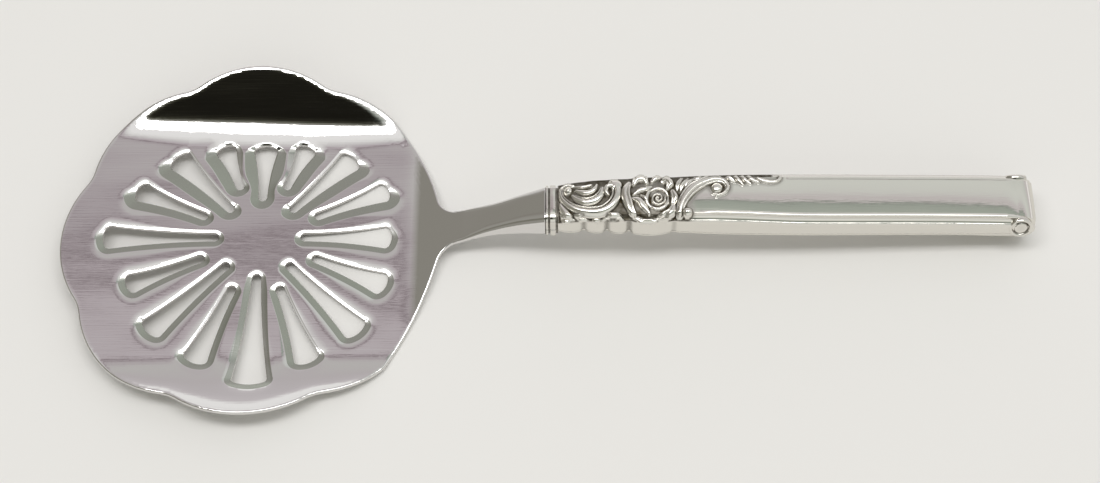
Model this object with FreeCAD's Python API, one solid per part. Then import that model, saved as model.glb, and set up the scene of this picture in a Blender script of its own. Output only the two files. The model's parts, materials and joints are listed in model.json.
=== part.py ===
import FreeCAD, Part
import math
import os

# Tomato server: a pierced and folded steel blade in a hollow silver handle.
# It is drawn in the server's own frame: X runs from the blade to the handle's end,
# Y to the far side and Z up, with zero at the middle of the piercing, on the
# blade's underside. The last step lays it down as it comes to rest.
# All lengths are in millimetres and all angles in degrees.

# Blade blank: a plate with eight scallops, one of them taken by the shank
plate = 1.1
scallops = 8
crest_radius = 41.3
notch_radius = 39.2
notch_round = 9.0
blank_shift_x = -1.2
blank_shift_y = -1.0

# Shoulders between the blank and the neck, as distances along X and half widths
shoulder_mid_x = 34.3
shoulder_mid_half = 18.0
shoulder_end_x = 38.3
shoulder_end_half = 7.0
neck_fillet_x = 39.9
neck_fillet_half = 4.75
neck_x = 43.2
neck_half = 3.5
neck_plate_end_x = 46.0
shoulder_lap = 0.08

# Folds: where each bend starts, its inner radius and its angle
far_fold_y = 20.5
far_fold_radius = 18.4
far_fold_angle = 25.0
near_fold_y = -29.5
near_fold_radius = 22.5
near_fold_angle = 20.0
ramp_x = 29.5
ramp_radius = 13.0
ramp_angle = 26.5
strip_reach = 20.0
no_bend_angle = 0.01

# Piercing: slots every 22.5 degrees, long and short ones in turn
slots = 16
long_slot_start = 8.7
short_slot_start = 12.4
slot_start_half = 0.95
slot_waist = 0.4
slot_end_bow = 0.9
slot_start_parts = 3
slot_side_parts = 3
slot_end_parts = 2
coin_width = 1.15
coin_depth = 0.38
# Reach and half width of each slot's outer end, from the handle side round by the far side
slot_reach = [28.2, 29.4, 27.3, 23.9, 22.2, 23.9, 27.5, 29.6,
              33.5, 29.8, 31.2, 31.4, 34.3, 31.5, 31.4, 29.7]
slot_end_half = [2.7, 2.4, 2.8, 2.4, 2.7, 2.4, 2.8, 2.4,
                 2.8, 2.4, 2.8, 2.8, 3.8, 2.8, 2.8, 2.7]

# Shank: stations along X with the height of the top, half width and half height
shank_stations = [(40.2, 4.72, 2.9, 0.40), (45.0, 8.0, 3.55, 1.05), (50.0, 10.8, 3.35, 1.75),
                  (55.5, 14.0, 3.75, 2.70), (61.2, 16.6, 4.45, 3.45)]
shank_parts = 7
oval_parts = 20
tang_radius = 2.0
tang_tip_radius = 1.2
tang_length = 38.0

# Handle: the seam between its two shells rises gently from the mouth
handle_length = 100.4
seam_rise = 0.8
shell_wall = 0.8
filler_gap = 0.05
side_swell = 0.15
cove_sag = 0.12
crown = 0.15
# Corners across the crowned top face, as shares of its half width
crown_at = [0.5, 0.0, -0.5]
back_parts = 12

# Collar rings at the mouth, each with its length and its step from the collar's size
collar_half_width = 4.6
collar_half_height = 3.7
collar_rings = [(0.45, 0.05), (0.40, -0.35), (1.15, 0.10), (0.45, -0.35)]

# Handle stations: distance from the mouth, half width of the top face, width of the
# cove beside it, half width at the seam, height above the seam and depth below it.
# The half width swells and narrows between the mouth and the rose as four soft lobes.
handle_stations = [
    (2.45, 3.0, 0.9, 4.35, 3.55, 3.6),
    (4.6, 3.4, 0.9, 4.95, 4.35, 3.6),
    (6.5, 3.6, 0.9, 4.85, 4.75, 3.5),
    (7.8, 3.6, 0.9, 4.70, 5.00, 3.4),
    (9.0, 3.7, 0.9, 4.90, 5.15, 3.4),
    (10.4, 3.7, 1.0, 5.20, 5.30, 3.4),
    (11.8, 3.7, 1.0, 5.00, 5.40, 3.3),
    (12.6, 3.7, 1.0, 4.85, 5.45, 3.2),
    (14.9, 3.8, 1.0, 5.40, 5.60, 3.4),
    (17.0, 3.8, 1.0, 5.05, 5.70, 3.2),
    (18.6, 3.9, 1.1, 5.50, 5.75, 3.3),
    (21.4, 4.0, 1.1, 5.80, 5.85, 3.5),
    (24.2, 4.0, 1.1, 5.45, 5.95, 3.4),
    (26.3, 3.9, 1.1, 5.05, 6.05, 3.2),
    (28.0, 3.9, 1.2, 5.15, 6.15, 3.3),
    (34.0, 4.0, 1.25, 5.45, 6.35, 3.4),
    (52.0, 4.45, 1.25, 5.85, 5.75, 3.9),
    (72.0, 4.45, 1.25, 5.90, 5.35, 4.1),
    (86.0, 4.45, 1.25, 5.95, 5.00, 4.6),
    (92.0, 4.45, 1.25, 6.00, 4.75, 5.6),
    (96.5, 4.40, 1.25, 6.00, 4.30, 6.3),
    (99.2, 4.35, 1.20, 5.90, 3.60, 5.6),
]
end_station = (4.3, 1.1, 5.6, 2.7, 3.8)
cavity_end = 90.0

# Volutes on the two sides at the handle's end: coiled buttons that face outwards
volute_station = 97.2
volute_out = 5.6
volute_up = 2.2
volute_tilt = 70.0
volute_radius = 2.4
volute_rim = 0.45
volute_slope = 0.33
volute_height = 0.55
volute_root = 1.5
volute_floor = 0.1
volute_eye = 0.6
volute_parts = 20

# Raised line along each side of the plain panel
line_start = 31.5
line_end = 97.0
line_half = 0.32
line_height = 0.22
line_parts = 6

# Carving: how far each form goes into the wall below the surface that it stands on
carving_sink = 0.35
leaf_tip = 0.12
scroll_lift = 0.8
# Section of a carved form, as shares of its half width and of its height
ridge_section = [(1.0, 0.0), (0.6, 0.75), (0.0, 1.0), (-0.6, 0.75), (-1.0, 0.0)]
# Profile of a boss, as shares of its radius and of its height
dome_profile = [(1.0, 0.0), (0.85, 0.55), (0.5, 0.88), (0.15, 1.0)]
dome_parts = 10

# Rose, from the handle's mouth
rose_s = 21.6
rose_y = -0.3
rose_long = 4.35
rose_wide = 3.8
rose_petals = 6
rose_base = 0.45
petal_parts = 4
petal_half = 0.95
petal_height = 0.62
inner_petals = 4
inner_long = 2.45
inner_wide = 2.1
inner_half = 0.7
inner_height = 0.7
inner_lift = 0.35
bud_s = 22.8
bud_y = -0.5
bud_radius = 1.55
bud_height = 1.25

far_reach = 60.0


def vec(x, y, z):
    return FreeCAD.Vector(x, y, z)


def arc(a, b, c):
    return Part.Arc(a, b, c).toShape()


def line(a, b):
    return Part.makeLine(a, b)


def face_of(edges):
    return Part.Face(Part.Wire(edges))


def closed(points):
    return Part.makePolygon(points + points[:1])


def unit(angle):
    return math.cos(math.radians(angle)), math.sin(math.radians(angle))


def blank_point(radius, angle):
    """Return a point of the blank at a distance and angle from its own middle."""
    c, s = unit(angle)
    return vec(blank_shift_x + radius * c, blank_shift_y + radius * s, 0)


def scalloped_disc():
    """Draw the scallops as arcs that meet smaller hollow arcs in the notches."""
    step = 360.0 / scallops
    hollow = notch_radius + notch_round
    outer = crest_radius + notch_round
    c = math.cos(math.radians(step / 2))
    centre_radius = (outer ** 2 - hollow ** 2) / (2 * (outer - hollow * c))
    lobe_radius = crest_radius - centre_radius

    def meeting(lobe, side):
        centre = blank_point(centre_radius, lobe * step)
        other = blank_point(hollow, (lobe + side / 2) * step)
        return centre + (other - centre) * (lobe_radius / (lobe_radius + notch_round))

    edges = []
    for lobe in range(scallops):
        crest = blank_point(crest_radius, lobe * step)
        notch = blank_point(notch_radius, (lobe + 0.5) * step)
        edges.append(arc(meeting(lobe, -1), crest, meeting(lobe, 1)))
        edges.append(arc(meeting(lobe, 1), notch, meeting(lobe + 1, -1)))
    return face_of(edges)


def shoulders():
    """Draw the part of the blank that runs from the last scallops into the neck."""
    def side(sign):
        return [
            blank_point(crest_radius - shoulder_lap, sign * 360.0 / scallops),
            vec(shoulder_mid_x, sign * shoulder_mid_half, 0),
            vec(shoulder_end_x, sign * shoulder_end_half, 0),
            vec(neck_fillet_x, sign * neck_fillet_half, 0),
            vec(neck_x, sign * neck_half, 0),
            vec(neck_plate_end_x, sign * neck_half, 0),
        ]
    far = side(1)
    near = side(-1)
    middle = vec(0, 0, 0)
    edges = [
        line(middle, far[0]), arc(far[0], far[1], far[2]), arc(far[2], far[3], far[4]),
        line(far[4], far[5]), line(far[5], near[5]), line(near[5], near[4]),
        arc(near[4], near[3], near[2]), arc(near[2], near[1], near[0]), line(near[0], middle),
    ]
    return face_of(edges)


def folded_profile(start, radius, angle, reach, thickness):
    """Give the corners of one bend: start, bend middle, bend end and tip, in (along, up)."""
    c, s = unit(angle)
    ch, sh = unit(angle / 2)
    r = radius + plate - thickness
    top = radius + plate
    bend_end = (start + r * s, top - r * c)
    return [
        (start, top - r),
        (start + r * sh, top - r * ch),
        bend_end,
        (bend_end[0] + reach * c, bend_end[1] + reach * s),
    ]


def strip_side(height, near, far):
    """Draw one side of a folded strip, from its near tip to its far tip."""
    a = folded_profile(-near[0], near[1], near[2], near[3], height)
    b = folded_profile(far[0], far[1], far[2], far[3], height)
    a = [(-u, v) for u, v in a]
    return a[::-1], b


def strip(near, far, thickness, place):
    """Build the face of a folded strip. A bend is (start, inner radius, angle, reach)."""
    low_a, low_b = strip_side(0, near, far)
    top_a, top_b = strip_side(thickness, near, far)
    if thickness > plate:
        top_a[0] = (low_a[0][0], thickness)
        top_b[3] = (low_b[3][0], thickness)
    p = [place(*q) for q in low_a + low_b]
    edges = [line(p[0], p[1]), arc(p[1], p[2], p[3]), line(p[3], p[4]), arc(p[4], p[5], p[6]),
             line(p[6], p[7])]
    q = [place(*r) for r in top_a + top_b]
    if thickness > plate:
        edges += [line(p[7], q[7]), line(q[7], q[0]), line(q[0], p[0])]
    else:
        edges += [line(p[7], q[7]), line(q[7], q[6]), arc(q[6], q[5], q[4]), line(q[4], q[3]),
                  arc(q[3], q[2], q[1]), line(q[1], q[0]), line(q[0], p[0])]
    return face_of(edges)


def cross_strip(thickness):
    """Fold up the far and near sides: a strip drawn in YZ and drawn out along X."""
    near = (near_fold_y, near_fold_radius, near_fold_angle, strip_reach)
    far = (far_fold_y, far_fold_radius, far_fold_angle, strip_reach)
    face = strip(near, far, thickness, lambda u, v: vec(-far_reach, u, v))
    return face.extrude(vec(2 * far_reach, 0, 0))


def long_strip(thickness):
    """Bend up the ramp to the neck: a strip drawn in XZ and drawn out along Y."""
    flat = (-far_reach, ramp_radius, no_bend_angle, strip_reach)
    ramp = (ramp_x, ramp_radius, ramp_angle, strip_reach)
    face = strip(flat, ramp, thickness, lambda u, v: vec(u, -far_reach, v))
    return face.extrude(vec(0, 2 * far_reach, 0))


def folded_outline(flat):
    """Fold the outline with the sides, so that each flap keeps its flat shape."""
    depth = far_reach
    tool = flat.copy()
    tool.translate(vec(0, 0, -depth))
    tool = tool.extrude(vec(0, 0, 2 * depth))
    pieces = []
    kept = tool
    for start, radius, angle, sign in ((far_fold_y, far_fold_radius, far_fold_angle, 1),
                                       (-near_fold_y, near_fold_radius, near_fold_angle, -1)):
        hinge_y = start + (radius + plate / 2) * math.tan(math.radians(angle / 2))
        hinge = vec(0, sign * hinge_y, plate / 2)
        beyond = Part.makeBox(4 * depth, 2 * depth, 4 * depth, vec(-2 * depth, 0, -2 * depth))
        beyond.rotate(vec(0, 0, 0), vec(1, 0, 0), angle / 2)
        if sign < 0:
            beyond.rotate(vec(0, 0, 0), vec(0, 0, 1), 180)
        beyond.translate(hinge)
        flap = tool.copy()
        flap.rotate(hinge, vec(1, 0, 0), sign * angle)
        pieces.append(flap.common(beyond))
        kept = kept.cut(beyond)
    return [kept] + pieces


def slot_outline(start, reach, start_half, end_half, grow, height):
    """Draw one slot: round at its start, waisted sides and a bowed outer end."""
    a = start_half + grow
    b = end_half + grow
    inner = start + start_half
    outer = reach - slot_end_bow + grow
    half = []
    for index in range(slot_start_parts):
        along, across = unit(180.0 - 90.0 * index / slot_start_parts)
        half.append((inner + a * along, a * across))
    for index in range(slot_side_parts):
        at = index / slot_side_parts
        waist = 4 * slot_waist * at * (1 - at)
        half.append((inner + (outer - inner) * at, a + (b - a) * at - waist))
    for index in range(slot_end_parts + 1):
        at = 1 - index / slot_end_parts
        half.append((outer + slot_end_bow * (1 - at ** 2), b * at))
    other = [(x, -y) for x, y in reversed(half[1:-1])]
    return closed([vec(x, y, height) for x, y in half + other])


def slot_cutters():
    """Build the slots and the coined slope round the top of each."""
    cutters = []
    step = 360.0 / slots
    for index in range(slots):
        start = long_slot_start if index % 2 == 0 else short_slot_start
        sizes = (start, slot_reach[index], slot_start_half, slot_end_half[index])
        through = Part.Face(slot_outline(*sizes, 0, -plate)).extrude(vec(0, 0, 4 * plate))
        low = slot_outline(*sizes, 0, plate - coin_depth)
        high = slot_outline(*sizes, coin_width, plate)
        slope = Part.makeLoft([low, high], True, True)
        above = Part.Face(high).extrude(vec(0, 0, 2 * plate))
        cutter = through.fuse([slope, above])
        cutter.rotate(vec(0, 0, 0), vec(0, 0, 1), index * step)
        cutters.append(cutter)
    return cutters


def oval(x, z, half_width, half_height):
    """Draw an oval across the handle's direction, with corners at its two sides."""
    points = []
    for index in range(oval_parts):
        across, up = unit(360.0 * index / oval_parts)
        points.append(vec(x, half_width * across, z + half_height * up))
    return closed(points)


def tang(x, z, grow):
    """Build the tapered tang, or with some growth the hole that it takes up."""
    rings = [oval(x, z, tang_radius + grow, tang_radius + grow),
             oval(x + tang_length + grow, z, tang_tip_radius + grow, tang_tip_radius + grow)]
    return Part.makeLoft(rings, True, True)


def column_curve(rows, column):
    """Draw a smooth curve through one column of a table of stations."""
    curve = Part.BSplineCurve()
    curve.interpolate(Points=[vec(row[0], row[column], 0) for row in rows],
                      Parameters=[row[0] for row in rows])
    return curve


def fill_in(rows, parts):
    """Space a table of stations evenly along smooth curves through its columns."""
    curves = [column_curve(rows, column) for column in range(1, len(rows[0]))]
    first = rows[0][0]
    step = (rows[-1][0] - first) / parts
    places = [first + step * index for index in range(parts + 1)]
    return [(x, *[curve.value(x).y for curve in curves]) for x in places]


def mouth_height():
    x, top, half_width, half_height = shank_stations[-1]
    return top - half_height


def server_blade():
    """Build the blade: folded plate, piercing, shank, bolster end and tang in one."""
    blank = scalloped_disc().fuse(shoulders()).removeSplitter()
    sheet = cross_strip(plate).fuse(long_strip(plate))
    sheet = sheet.common(cross_strip(far_reach)).common(long_strip(far_reach))
    body = None
    for tool in folded_outline(blank):
        piece = sheet.common(tool)
        body = piece if body is None else body.fuse(piece)
    body = body.removeSplitter()
    body = body.cut(slot_cutters())
    stations = fill_in(shank_stations, shank_parts)
    rings = [oval(x, top - h, w, h) for x, top, w, h in stations]
    shank = Part.makeLoft(rings, True, True)
    mouth_x = shank_stations[-1][0]
    return body.fuse([shank, tang(mouth_x - plate, mouth_height(), 0)]).removeSplitter()


def handle_place(shape):
    """Move a shape from the handle's own frame, zero at its mouth, to the server's."""
    shape.rotate(vec(0, 0, 0), vec(0, 1, 0), -seam_rise)
    shape.translate(vec(shank_stations[-1][0], 0, mouth_height()))
    return shape


def front_wire(s, flat, cove, side, height, inset):
    """Draw the front shell's section at a station: sides, coves and crowned top face."""
    narrow = inset * math.tan(math.radians(45.0 / 2))
    foot = side - inset
    edge = flat + cove - inset
    low = height - cove - narrow
    half = flat - narrow
    top = height - inset
    right = [
        vec(s, foot, 0),
        vec(s, (foot + edge) / 2 + side_swell, low / 2),
        vec(s, edge, low),
        vec(s, (edge + half) / 2 - cove_sag, (low + top) / 2 - cove_sag),
        vec(s, half, top),
    ]
    left = [vec(q.x, -q.y, q.z) for q in reversed(right)]
    return closed(right + [vec(s, half * at, top + crown * (1 - at ** 2)) for at in crown_at]
                  + left)


def back_wire(s, side, depth, inset):
    """Draw the back shell's section at a station: half an oval below the seam."""
    points = []
    for index in range(back_parts + 1):
        across, down = unit(180.0 * index / back_parts)
        points.append(vec(s, (side - inset) * across, (inset - depth) * down))
    return closed(points)


def handle_sections(inset, first, last):
    """List the stations between two distances, as sections of both shells."""
    rows = [row for row in handle_stations if first <= row[0] <= last]
    fronts = [front_wire(s, flat, cove, side, up, inset) for s, flat, cove, side, up, down in rows]
    backs = [back_wire(s, side, down, inset) for s, flat, cove, side, up, down in rows]
    if last > handle_length:
        flat, cove, side, up, down = end_station
        fronts.append(front_wire(handle_length, flat, cove, side, up, inset))
        backs.append(back_wire(handle_length, side, down, inset))
    return fronts, backs


def half_oval(start, length, step, above):
    """Build one half of a collar ring."""
    ring = oval(start, 0, collar_half_width + step, collar_half_height + step)
    disc = Part.Face(ring).extrude(vec(length, 0, 0))
    reach = 4 * collar_half_width
    low = 0 if above else -reach
    return disc.common(Part.makeBox(length, 2 * reach, reach, vec(start, -reach, low)))


def collar(above):
    """Stack the collar rings at the mouth."""
    rings = []
    start = 0.0
    for length, step in collar_rings:
        rings.append(half_oval(start, length, step, above))
        start += length
    return rings


def bore(above):
    """Build the cavity at the mouth, which runs on into the handle's own."""
    smallest = min(step for length, step in collar_rings)
    return half_oval(0, handle_stations[0][0], smallest - shell_wall, above)


def upper_surface():
    """Return a function that gives the height of the front shell's plain upper surface."""
    rows = handle_stations + [(handle_length, *end_station)]
    tops = column_curve(rows, 4)
    flats = column_curve(rows, 1)

    def height(s, y):
        top = tops.value(s).y
        flat = flats.value(s).y
        if abs(y) > flat:
            return top - (abs(y) - flat)
        return top + crown * (1 - (y / flat) ** 2)

    def half(s):
        return flats.value(s).y

    return height, half


def ridge(spine, seat):
    """Build a carved form: a round-backed bar along a spine of
    (s, y, half width, height), standing on the surface that seat gives."""
    last = len(spine) - 1
    down = vec(0, 0, -carving_sink)
    sections = []
    for index, (s, y, half, high) in enumerate(spine):
        before = spine[max(index - 1, 0)]
        after = spine[min(index + 1, last)]
        along = vec(after[0] - before[0], after[1] - before[1], 0).normalize()
        across = vec(-along.y, along.x, 0) * half
        foot = vec(s, y, seat(s, y))
        back = [foot + across * side + vec(0, 0, high * up) for side, up in ridge_section]
        sections.append(closed(back + [back[-1] + down, back[0] + down]))
    return Part.makeLoft(sections, True, True)


def turned(profile, parts):
    """Turn a profile of (radius, height) points about the Z axis, with flat facets."""
    rings = []
    for radius, height in profile:
        ring = []
        for index in range(parts):
            c, s = unit(360.0 * index / parts)
            ring.append(vec(radius * c, radius * s, height))
        rings.append(closed(ring))
    return Part.makeLoft(rings, True, True)


def dome(s, y, radius, high, seat):
    """Turn a round boss with a rounded top."""
    profile = [(radius, -carving_sink)]
    profile += [(radius * out, high * up) for out, up in dome_profile]
    boss = turned(profile, dome_parts)
    boss.translate(vec(s, y, seat(s, y)))
    return boss


def leaf(points, half, high):
    """Give a leaf's spine: pointed at both ends and widest in the middle."""
    last = len(points) - 1
    spine = []
    for index, (s, y) in enumerate(points):
        swell = math.sin(math.pi * (index + 0.35) / (last + 0.7))
        spine.append((s, y, max(half * swell, leaf_tip), max(high * swell, leaf_tip)))
    return spine


def taper(points, halves):
    """Give a scroll's spine, with the height in proportion to the width."""
    return [(s, y, half, half * scroll_lift) for (s, y), half in zip(points, halves)]


def petal(middle_s, middle_y, long_radius, wide_radius, start, sweep, half, high):
    """Give a petal's rolled rim: a crescent round the rose."""
    points = []
    for index in range(petal_parts + 1):
        c, s = unit(start + sweep * index / petal_parts)
        points.append((middle_s + long_radius * c, middle_y + wide_radius * s))
    return leaf(points, half, high)


def rose_forms(seat):
    """Carve the rose: a low cushion, outer and inner petals and a coiled bud."""
    forms = [dome(rose_s, rose_y, rose_wide, rose_base, seat)]
    step = 360.0 / rose_petals
    for index in range(rose_petals):
        forms.append(ridge(petal(rose_s, rose_y, rose_long, rose_wide, (index - 0.3) * step,
                                 step, petal_half, petal_height), seat))
    step = 360.0 / inner_petals
    for index in range(inner_petals):
        forms.append(ridge(petal(bud_s, bud_y, inner_long, inner_wide, (index + 0.4) * step,
                                 step, inner_half, inner_height),
                           lambda s, y: seat(s, y) + inner_lift))
    forms.append(dome(bud_s, bud_y, bud_radius, bud_height, seat))
    return forms


def scroll_forms(seat):
    """Carve the two scrolls with their eyes and the leaves between and beside them."""
    first = taper(
        [(3.9, 3.2), (2.9, 1.5), (4.2, -0.6), (7.3, -2.7), (10.8, -3.1), (13.6, -2.1),
         (15.0, -0.1), (14.6, 2.0), (13.2, 3.3)],
        [0.4, 0.5, 0.6, 0.75, 0.9, 1.0, 0.95, 1.0, 0.5])
    second = taper(
        [(27.2, -4.0), (27.6, -2.0), (28.7, 0.2), (30.5, 2.0), (32.6, 3.1), (34.9, 3.3),
         (36.6, 2.5), (36.8, 1.0), (35.5, 0.2)],
        [0.9, 0.9, 0.85, 0.85, 0.8, 0.75, 0.65, 0.5, 0.3])
    leaves = [
        ([(5.7, 1.0), (7.8, -0.7), (10.3, -0.5), (12.2, 1.3), (12.2, 2.9)], 0.75, 0.6),
        ([(6.2, 2.2), (8.3, 1.2), (11.0, 2.7)], 0.7, 0.6),
        ([(2.9, -1.8), (3.7, -3.2), (5.2, -4.0)], 0.55, 0.5),
        ([(5.2, -2.6), (8.0, -4.2), (10.6, -4.2)], 0.6, 0.5),
        ([(10.9, -4.2), (13.2, -3.5), (15.4, -3.7)], 0.6, 0.5),
        ([(26.9, 0.8), (27.2, 2.6), (28.4, 4.0)], 0.55, 0.5),
        ([(28.0, 1.6), (28.6, 3.0), (29.9, 3.9)], 0.5, 0.5),
        ([(36.3, 3.5), (37.9, 3.7), (39.3, 3.0)], 0.55, 0.45),
        ([(38.2, 4.0), (40.8, 3.3), (43.4, 3.5)], 0.7, 0.5),
        ([(41.2, 4.1), (44.2, 3.8), (46.4, 4.0)], 0.5, 0.4),
        ([(45.0, 4.0), (46.8, 3.8), (48.3, 3.3), (48.5, 4.0)], 0.4, 0.35),
        ([(27.4, -3.9), (28.6, -4.4), (30.0, -4.2)], 0.6, 0.5),
    ]
    forms = [ridge(first, seat), ridge(second, seat)]
    for points, half, high in leaves:
        forms.append(ridge(leaf(points, half, high), seat))
    for s, y, radius, high in ((4.5, 2.1, 0.8, 0.7), (34.9, 1.5, 1.05, 0.7),
                               (29.5, -3.5, 0.75, 0.6), (15.2, -3.8, 0.75, 0.5)):
        forms.append(dome(s, y, radius, high, seat))
    return forms


def edge_lines(seat, panel_half):
    """Raise a fine line along both sides of the plain panel."""
    forms = []
    for sign in (1, -1):
        spine = []
        for index in range(line_parts + 1):
            s = line_start + (line_end - line_start) * index / line_parts
            y = sign * (panel_half(s) - line_half)
            spine.append((s, y, line_half, line_height))
        forms.append(ridge(spine, seat))
    return forms


def volute(sign):
    """Turn the coiled button that ends the cove on one side."""
    groove = volute_radius - volute_rim - volute_slope
    button = turned([
        (volute_radius, -volute_root), (volute_radius, volute_floor),
        (volute_radius - volute_rim, volute_height), (groove, volute_floor),
        (volute_eye, volute_height),
    ], volute_parts)
    button.rotate(vec(0, 0, 0), vec(1, 0, 0), -volute_tilt)
    button.translate(vec(volute_station, volute_out, volute_up))
    if sign < 0:
        button = button.mirror(vec(0, 0, 0), vec(0, 1, 0))
    return button


def handle_front():
    """Build the carved upper shell with its half of the collar."""
    fronts, backs = handle_sections(0, 0, handle_length + 1)
    seat, panel_half = upper_surface()
    rose = rose_forms(seat)
    carving = rose[0].fuse(rose[1:] + scroll_forms(seat))
    body = Part.makeLoft(fronts, True, True).fuse(collar(True))
    body = body.fuse([carving, volute(1), volute(-1)] + edge_lines(seat, panel_half))
    above = Part.makeBox(2 * far_reach, far_reach, far_reach, vec(0, -far_reach / 2, 0))
    body = body.common(above)
    body = body.cut([cavity(True), bore(True)])
    return body.removeSplitter()


def handle_back():
    """Build the plain lower shell with its half of the collar."""
    fronts, backs = handle_sections(0, 0, handle_length + 1)
    body = Part.makeLoft(backs, True, True).fuse(collar(False))
    return body.cut([cavity(False), bore(False)]).removeSplitter()


def cavity(above):
    """Build the hollow of one shell."""
    fronts, backs = handle_sections(shell_wall, 0, cavity_end)
    return Part.makeLoft(fronts if above else backs, True, True)


def handle_cement():
    """Fill the hollow of both shells round the tang."""
    first = handle_stations[0][0]
    fronts, backs = handle_sections(shell_wall + filler_gap, first, cavity_end)
    body = Part.makeLoft(fronts, True, True).fuse(Part.makeLoft(backs, True, True))
    hole = tang(-plate, 0, filler_gap)
    hole.rotate(vec(0, 0, 0), vec(0, 1, 0), seam_rise)
    return body.cut(hole).removeSplitter()


def lowest(shape):
    box = shape.optimalBoundingBox(True, False)
    return box.ZMin, (box.XMin + box.XMax) / 2


def settle(parts):
    """Turn the server until its blade and its handle's end lie equally low, then put
    zero under the middle of its outline."""
    turn = 0.0
    lever = shank_stations[-1][0] + volute_station - ramp_x
    for attempt in range(6):
        blade_low = lowest(parts["server_blade"])[0]
        handle_low = lowest(parts["handle_back"])[0]
        step = math.degrees(math.atan((handle_low - blade_low) / lever))
        for shape in parts.values():
            shape.rotate(vec(0, 0, 0), vec(0, 1, 0), step)
        turn += step
    whole = Part.makeCompound(list(parts.values()))
    box = whole.optimalBoundingBox(True, False)
    shift = vec(-(box.XMin + box.XMax) / 2, -(box.YMin + box.YMax) / 2, -box.ZMin)
    for shape in parts.values():
        shape.translate(shift)
    print("rest turn in degrees", round(turn, 4))
    print("middle of the blade's underside", [round(v, 4) for v in shift])
    print("size", round(box.XLength, 2), round(box.YLength, 2), round(box.ZLength, 2))


def main():
    parts = {
        "server_blade": server_blade(),
        "handle_front": handle_place(handle_front()),
        "handle_back": handle_place(handle_back()),
        "handle_cement": handle_place(handle_cement()),
    }
    settle(parts)
    os.makedirs("parts", exist_ok=True)
    for name, shape in parts.items():
        print(name, "solids", len(shape.Solids), "volume", round(shape.Volume, 1),
              "valid", shape.isValid())
        shape.exportStep("parts/" + name + ".step")


main()
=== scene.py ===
import json
import math

import bmesh
import bpy
import numpy as np
from bpy.props import FloatProperty, FloatVectorProperty, PointerProperty
from mathutils import Matrix, Vector


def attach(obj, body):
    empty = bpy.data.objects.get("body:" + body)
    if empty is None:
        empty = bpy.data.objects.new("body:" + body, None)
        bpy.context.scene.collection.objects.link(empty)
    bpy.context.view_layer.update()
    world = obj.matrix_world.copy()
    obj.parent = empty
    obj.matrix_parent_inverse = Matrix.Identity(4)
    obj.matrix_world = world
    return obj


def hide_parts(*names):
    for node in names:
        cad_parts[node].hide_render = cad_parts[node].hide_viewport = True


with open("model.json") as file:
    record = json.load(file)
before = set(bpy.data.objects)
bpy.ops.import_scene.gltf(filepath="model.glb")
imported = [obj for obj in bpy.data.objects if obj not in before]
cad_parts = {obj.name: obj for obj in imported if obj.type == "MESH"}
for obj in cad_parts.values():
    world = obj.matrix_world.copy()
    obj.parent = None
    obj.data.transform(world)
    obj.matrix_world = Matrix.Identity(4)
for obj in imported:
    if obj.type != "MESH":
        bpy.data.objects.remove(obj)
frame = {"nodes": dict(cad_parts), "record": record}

bl_info = {
    "name": "Tomato server",
    "version": (1, 0, 0),
    "blender": (4, 5, 0),
    "location": "3D View > Sidebar > Server",
    "description": "A pierced steel tomato server with a carved silver handle",
    "category": "Object",
}


# Units and colours

def mm(length):
    """Turn a length in metres, as Blender holds it, into millimetres."""
    return length * 1000.0


def metres(millimetres):
    return millimetres / 1000.0


def cycles(*millimetres):
    """Give a pattern's scale, in repeats a metre, from its real sizes."""
    return tuple(1000.0 / size for size in millimetres)


def linear(hex_colour):
    """Turn an sRGB hex colour into linear red, green and blue."""
    values = [int(hex_colour[i:i + 2], 16) / 255.0 for i in (1, 3, 5)]
    return tuple(v / 12.92 if v <= 0.04045 else ((v + 0.055) / 1.055) ** 2.4 for v in values)


def opaque(rgb):
    return (*rgb, 1.0)


def length(name, millimetres, description):
    return FloatProperty(name=name, description=description, default=metres(millimetres),
                         subtype="DISTANCE", unit="LENGTH", precision=5)


def angle(name, degrees, description):
    return FloatProperty(name=name, description=description, default=math.radians(degrees),
                         subtype="ANGLE", unit="ROTATION")


def colour(name, hex_colour, description):
    return FloatVectorProperty(name=name, description=description, default=linear(hex_colour),
                               subtype="COLOR", size=3, min=0.0, max=1.0)


class ServerBladeSettings(bpy.types.PropertyGroup):
    plate: length("Plate", 1.1, "Thickness of the blade's plate")
    crest_radius: length("Crest radius", 41.3, "From the blank's middle to the top of a scallop")
    notch_radius: length("Notch radius", 39.2, "From the blank's middle to a notch")
    notch_round: length("Notch round", 9.0, "Radius of the hollow between two scallops")
    far_fold: length("Far fold", 20.5, "Where the far bend starts")
    far_radius: length("Far bend radius", 18.4, "Inner radius of the far bend")
    far_angle: angle("Far angle", 25.0, "How far the far side is folded up")
    near_fold: length("Near fold", 29.5, "Where the near bend starts")
    near_radius: length("Near bend radius", 22.5, "Inner radius of the near bend")
    near_angle: angle("Near angle", 20.0, "How far the near side is folded up")
    ramp_start: length("Ramp", 29.5, "Where the bend up to the handle starts")
    ramp_radius: length("Ramp bend radius", 13.0, "Inner radius of the bend up to the handle")
    ramp_angle: angle("Ramp angle", 26.5, "Slope of the plate up to the handle")
    coin_width: length("Coined width", 1.15, "Width of the slope pressed round each slot")
    coin_depth: length("Coined depth", 0.38, "Depth of the slope pressed round each slot")
    steel: colour("Steel", "#DEDCDA", "Colour of the polished stainless steel")
    # The satin colour is a painted grey reflection, laid on the slopes' sides that face the viewer;
    # their satin roughness is real
    satin: colour("Satin steel", "#A9ACA2", "Colour of the satin slopes round the slots")


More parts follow.
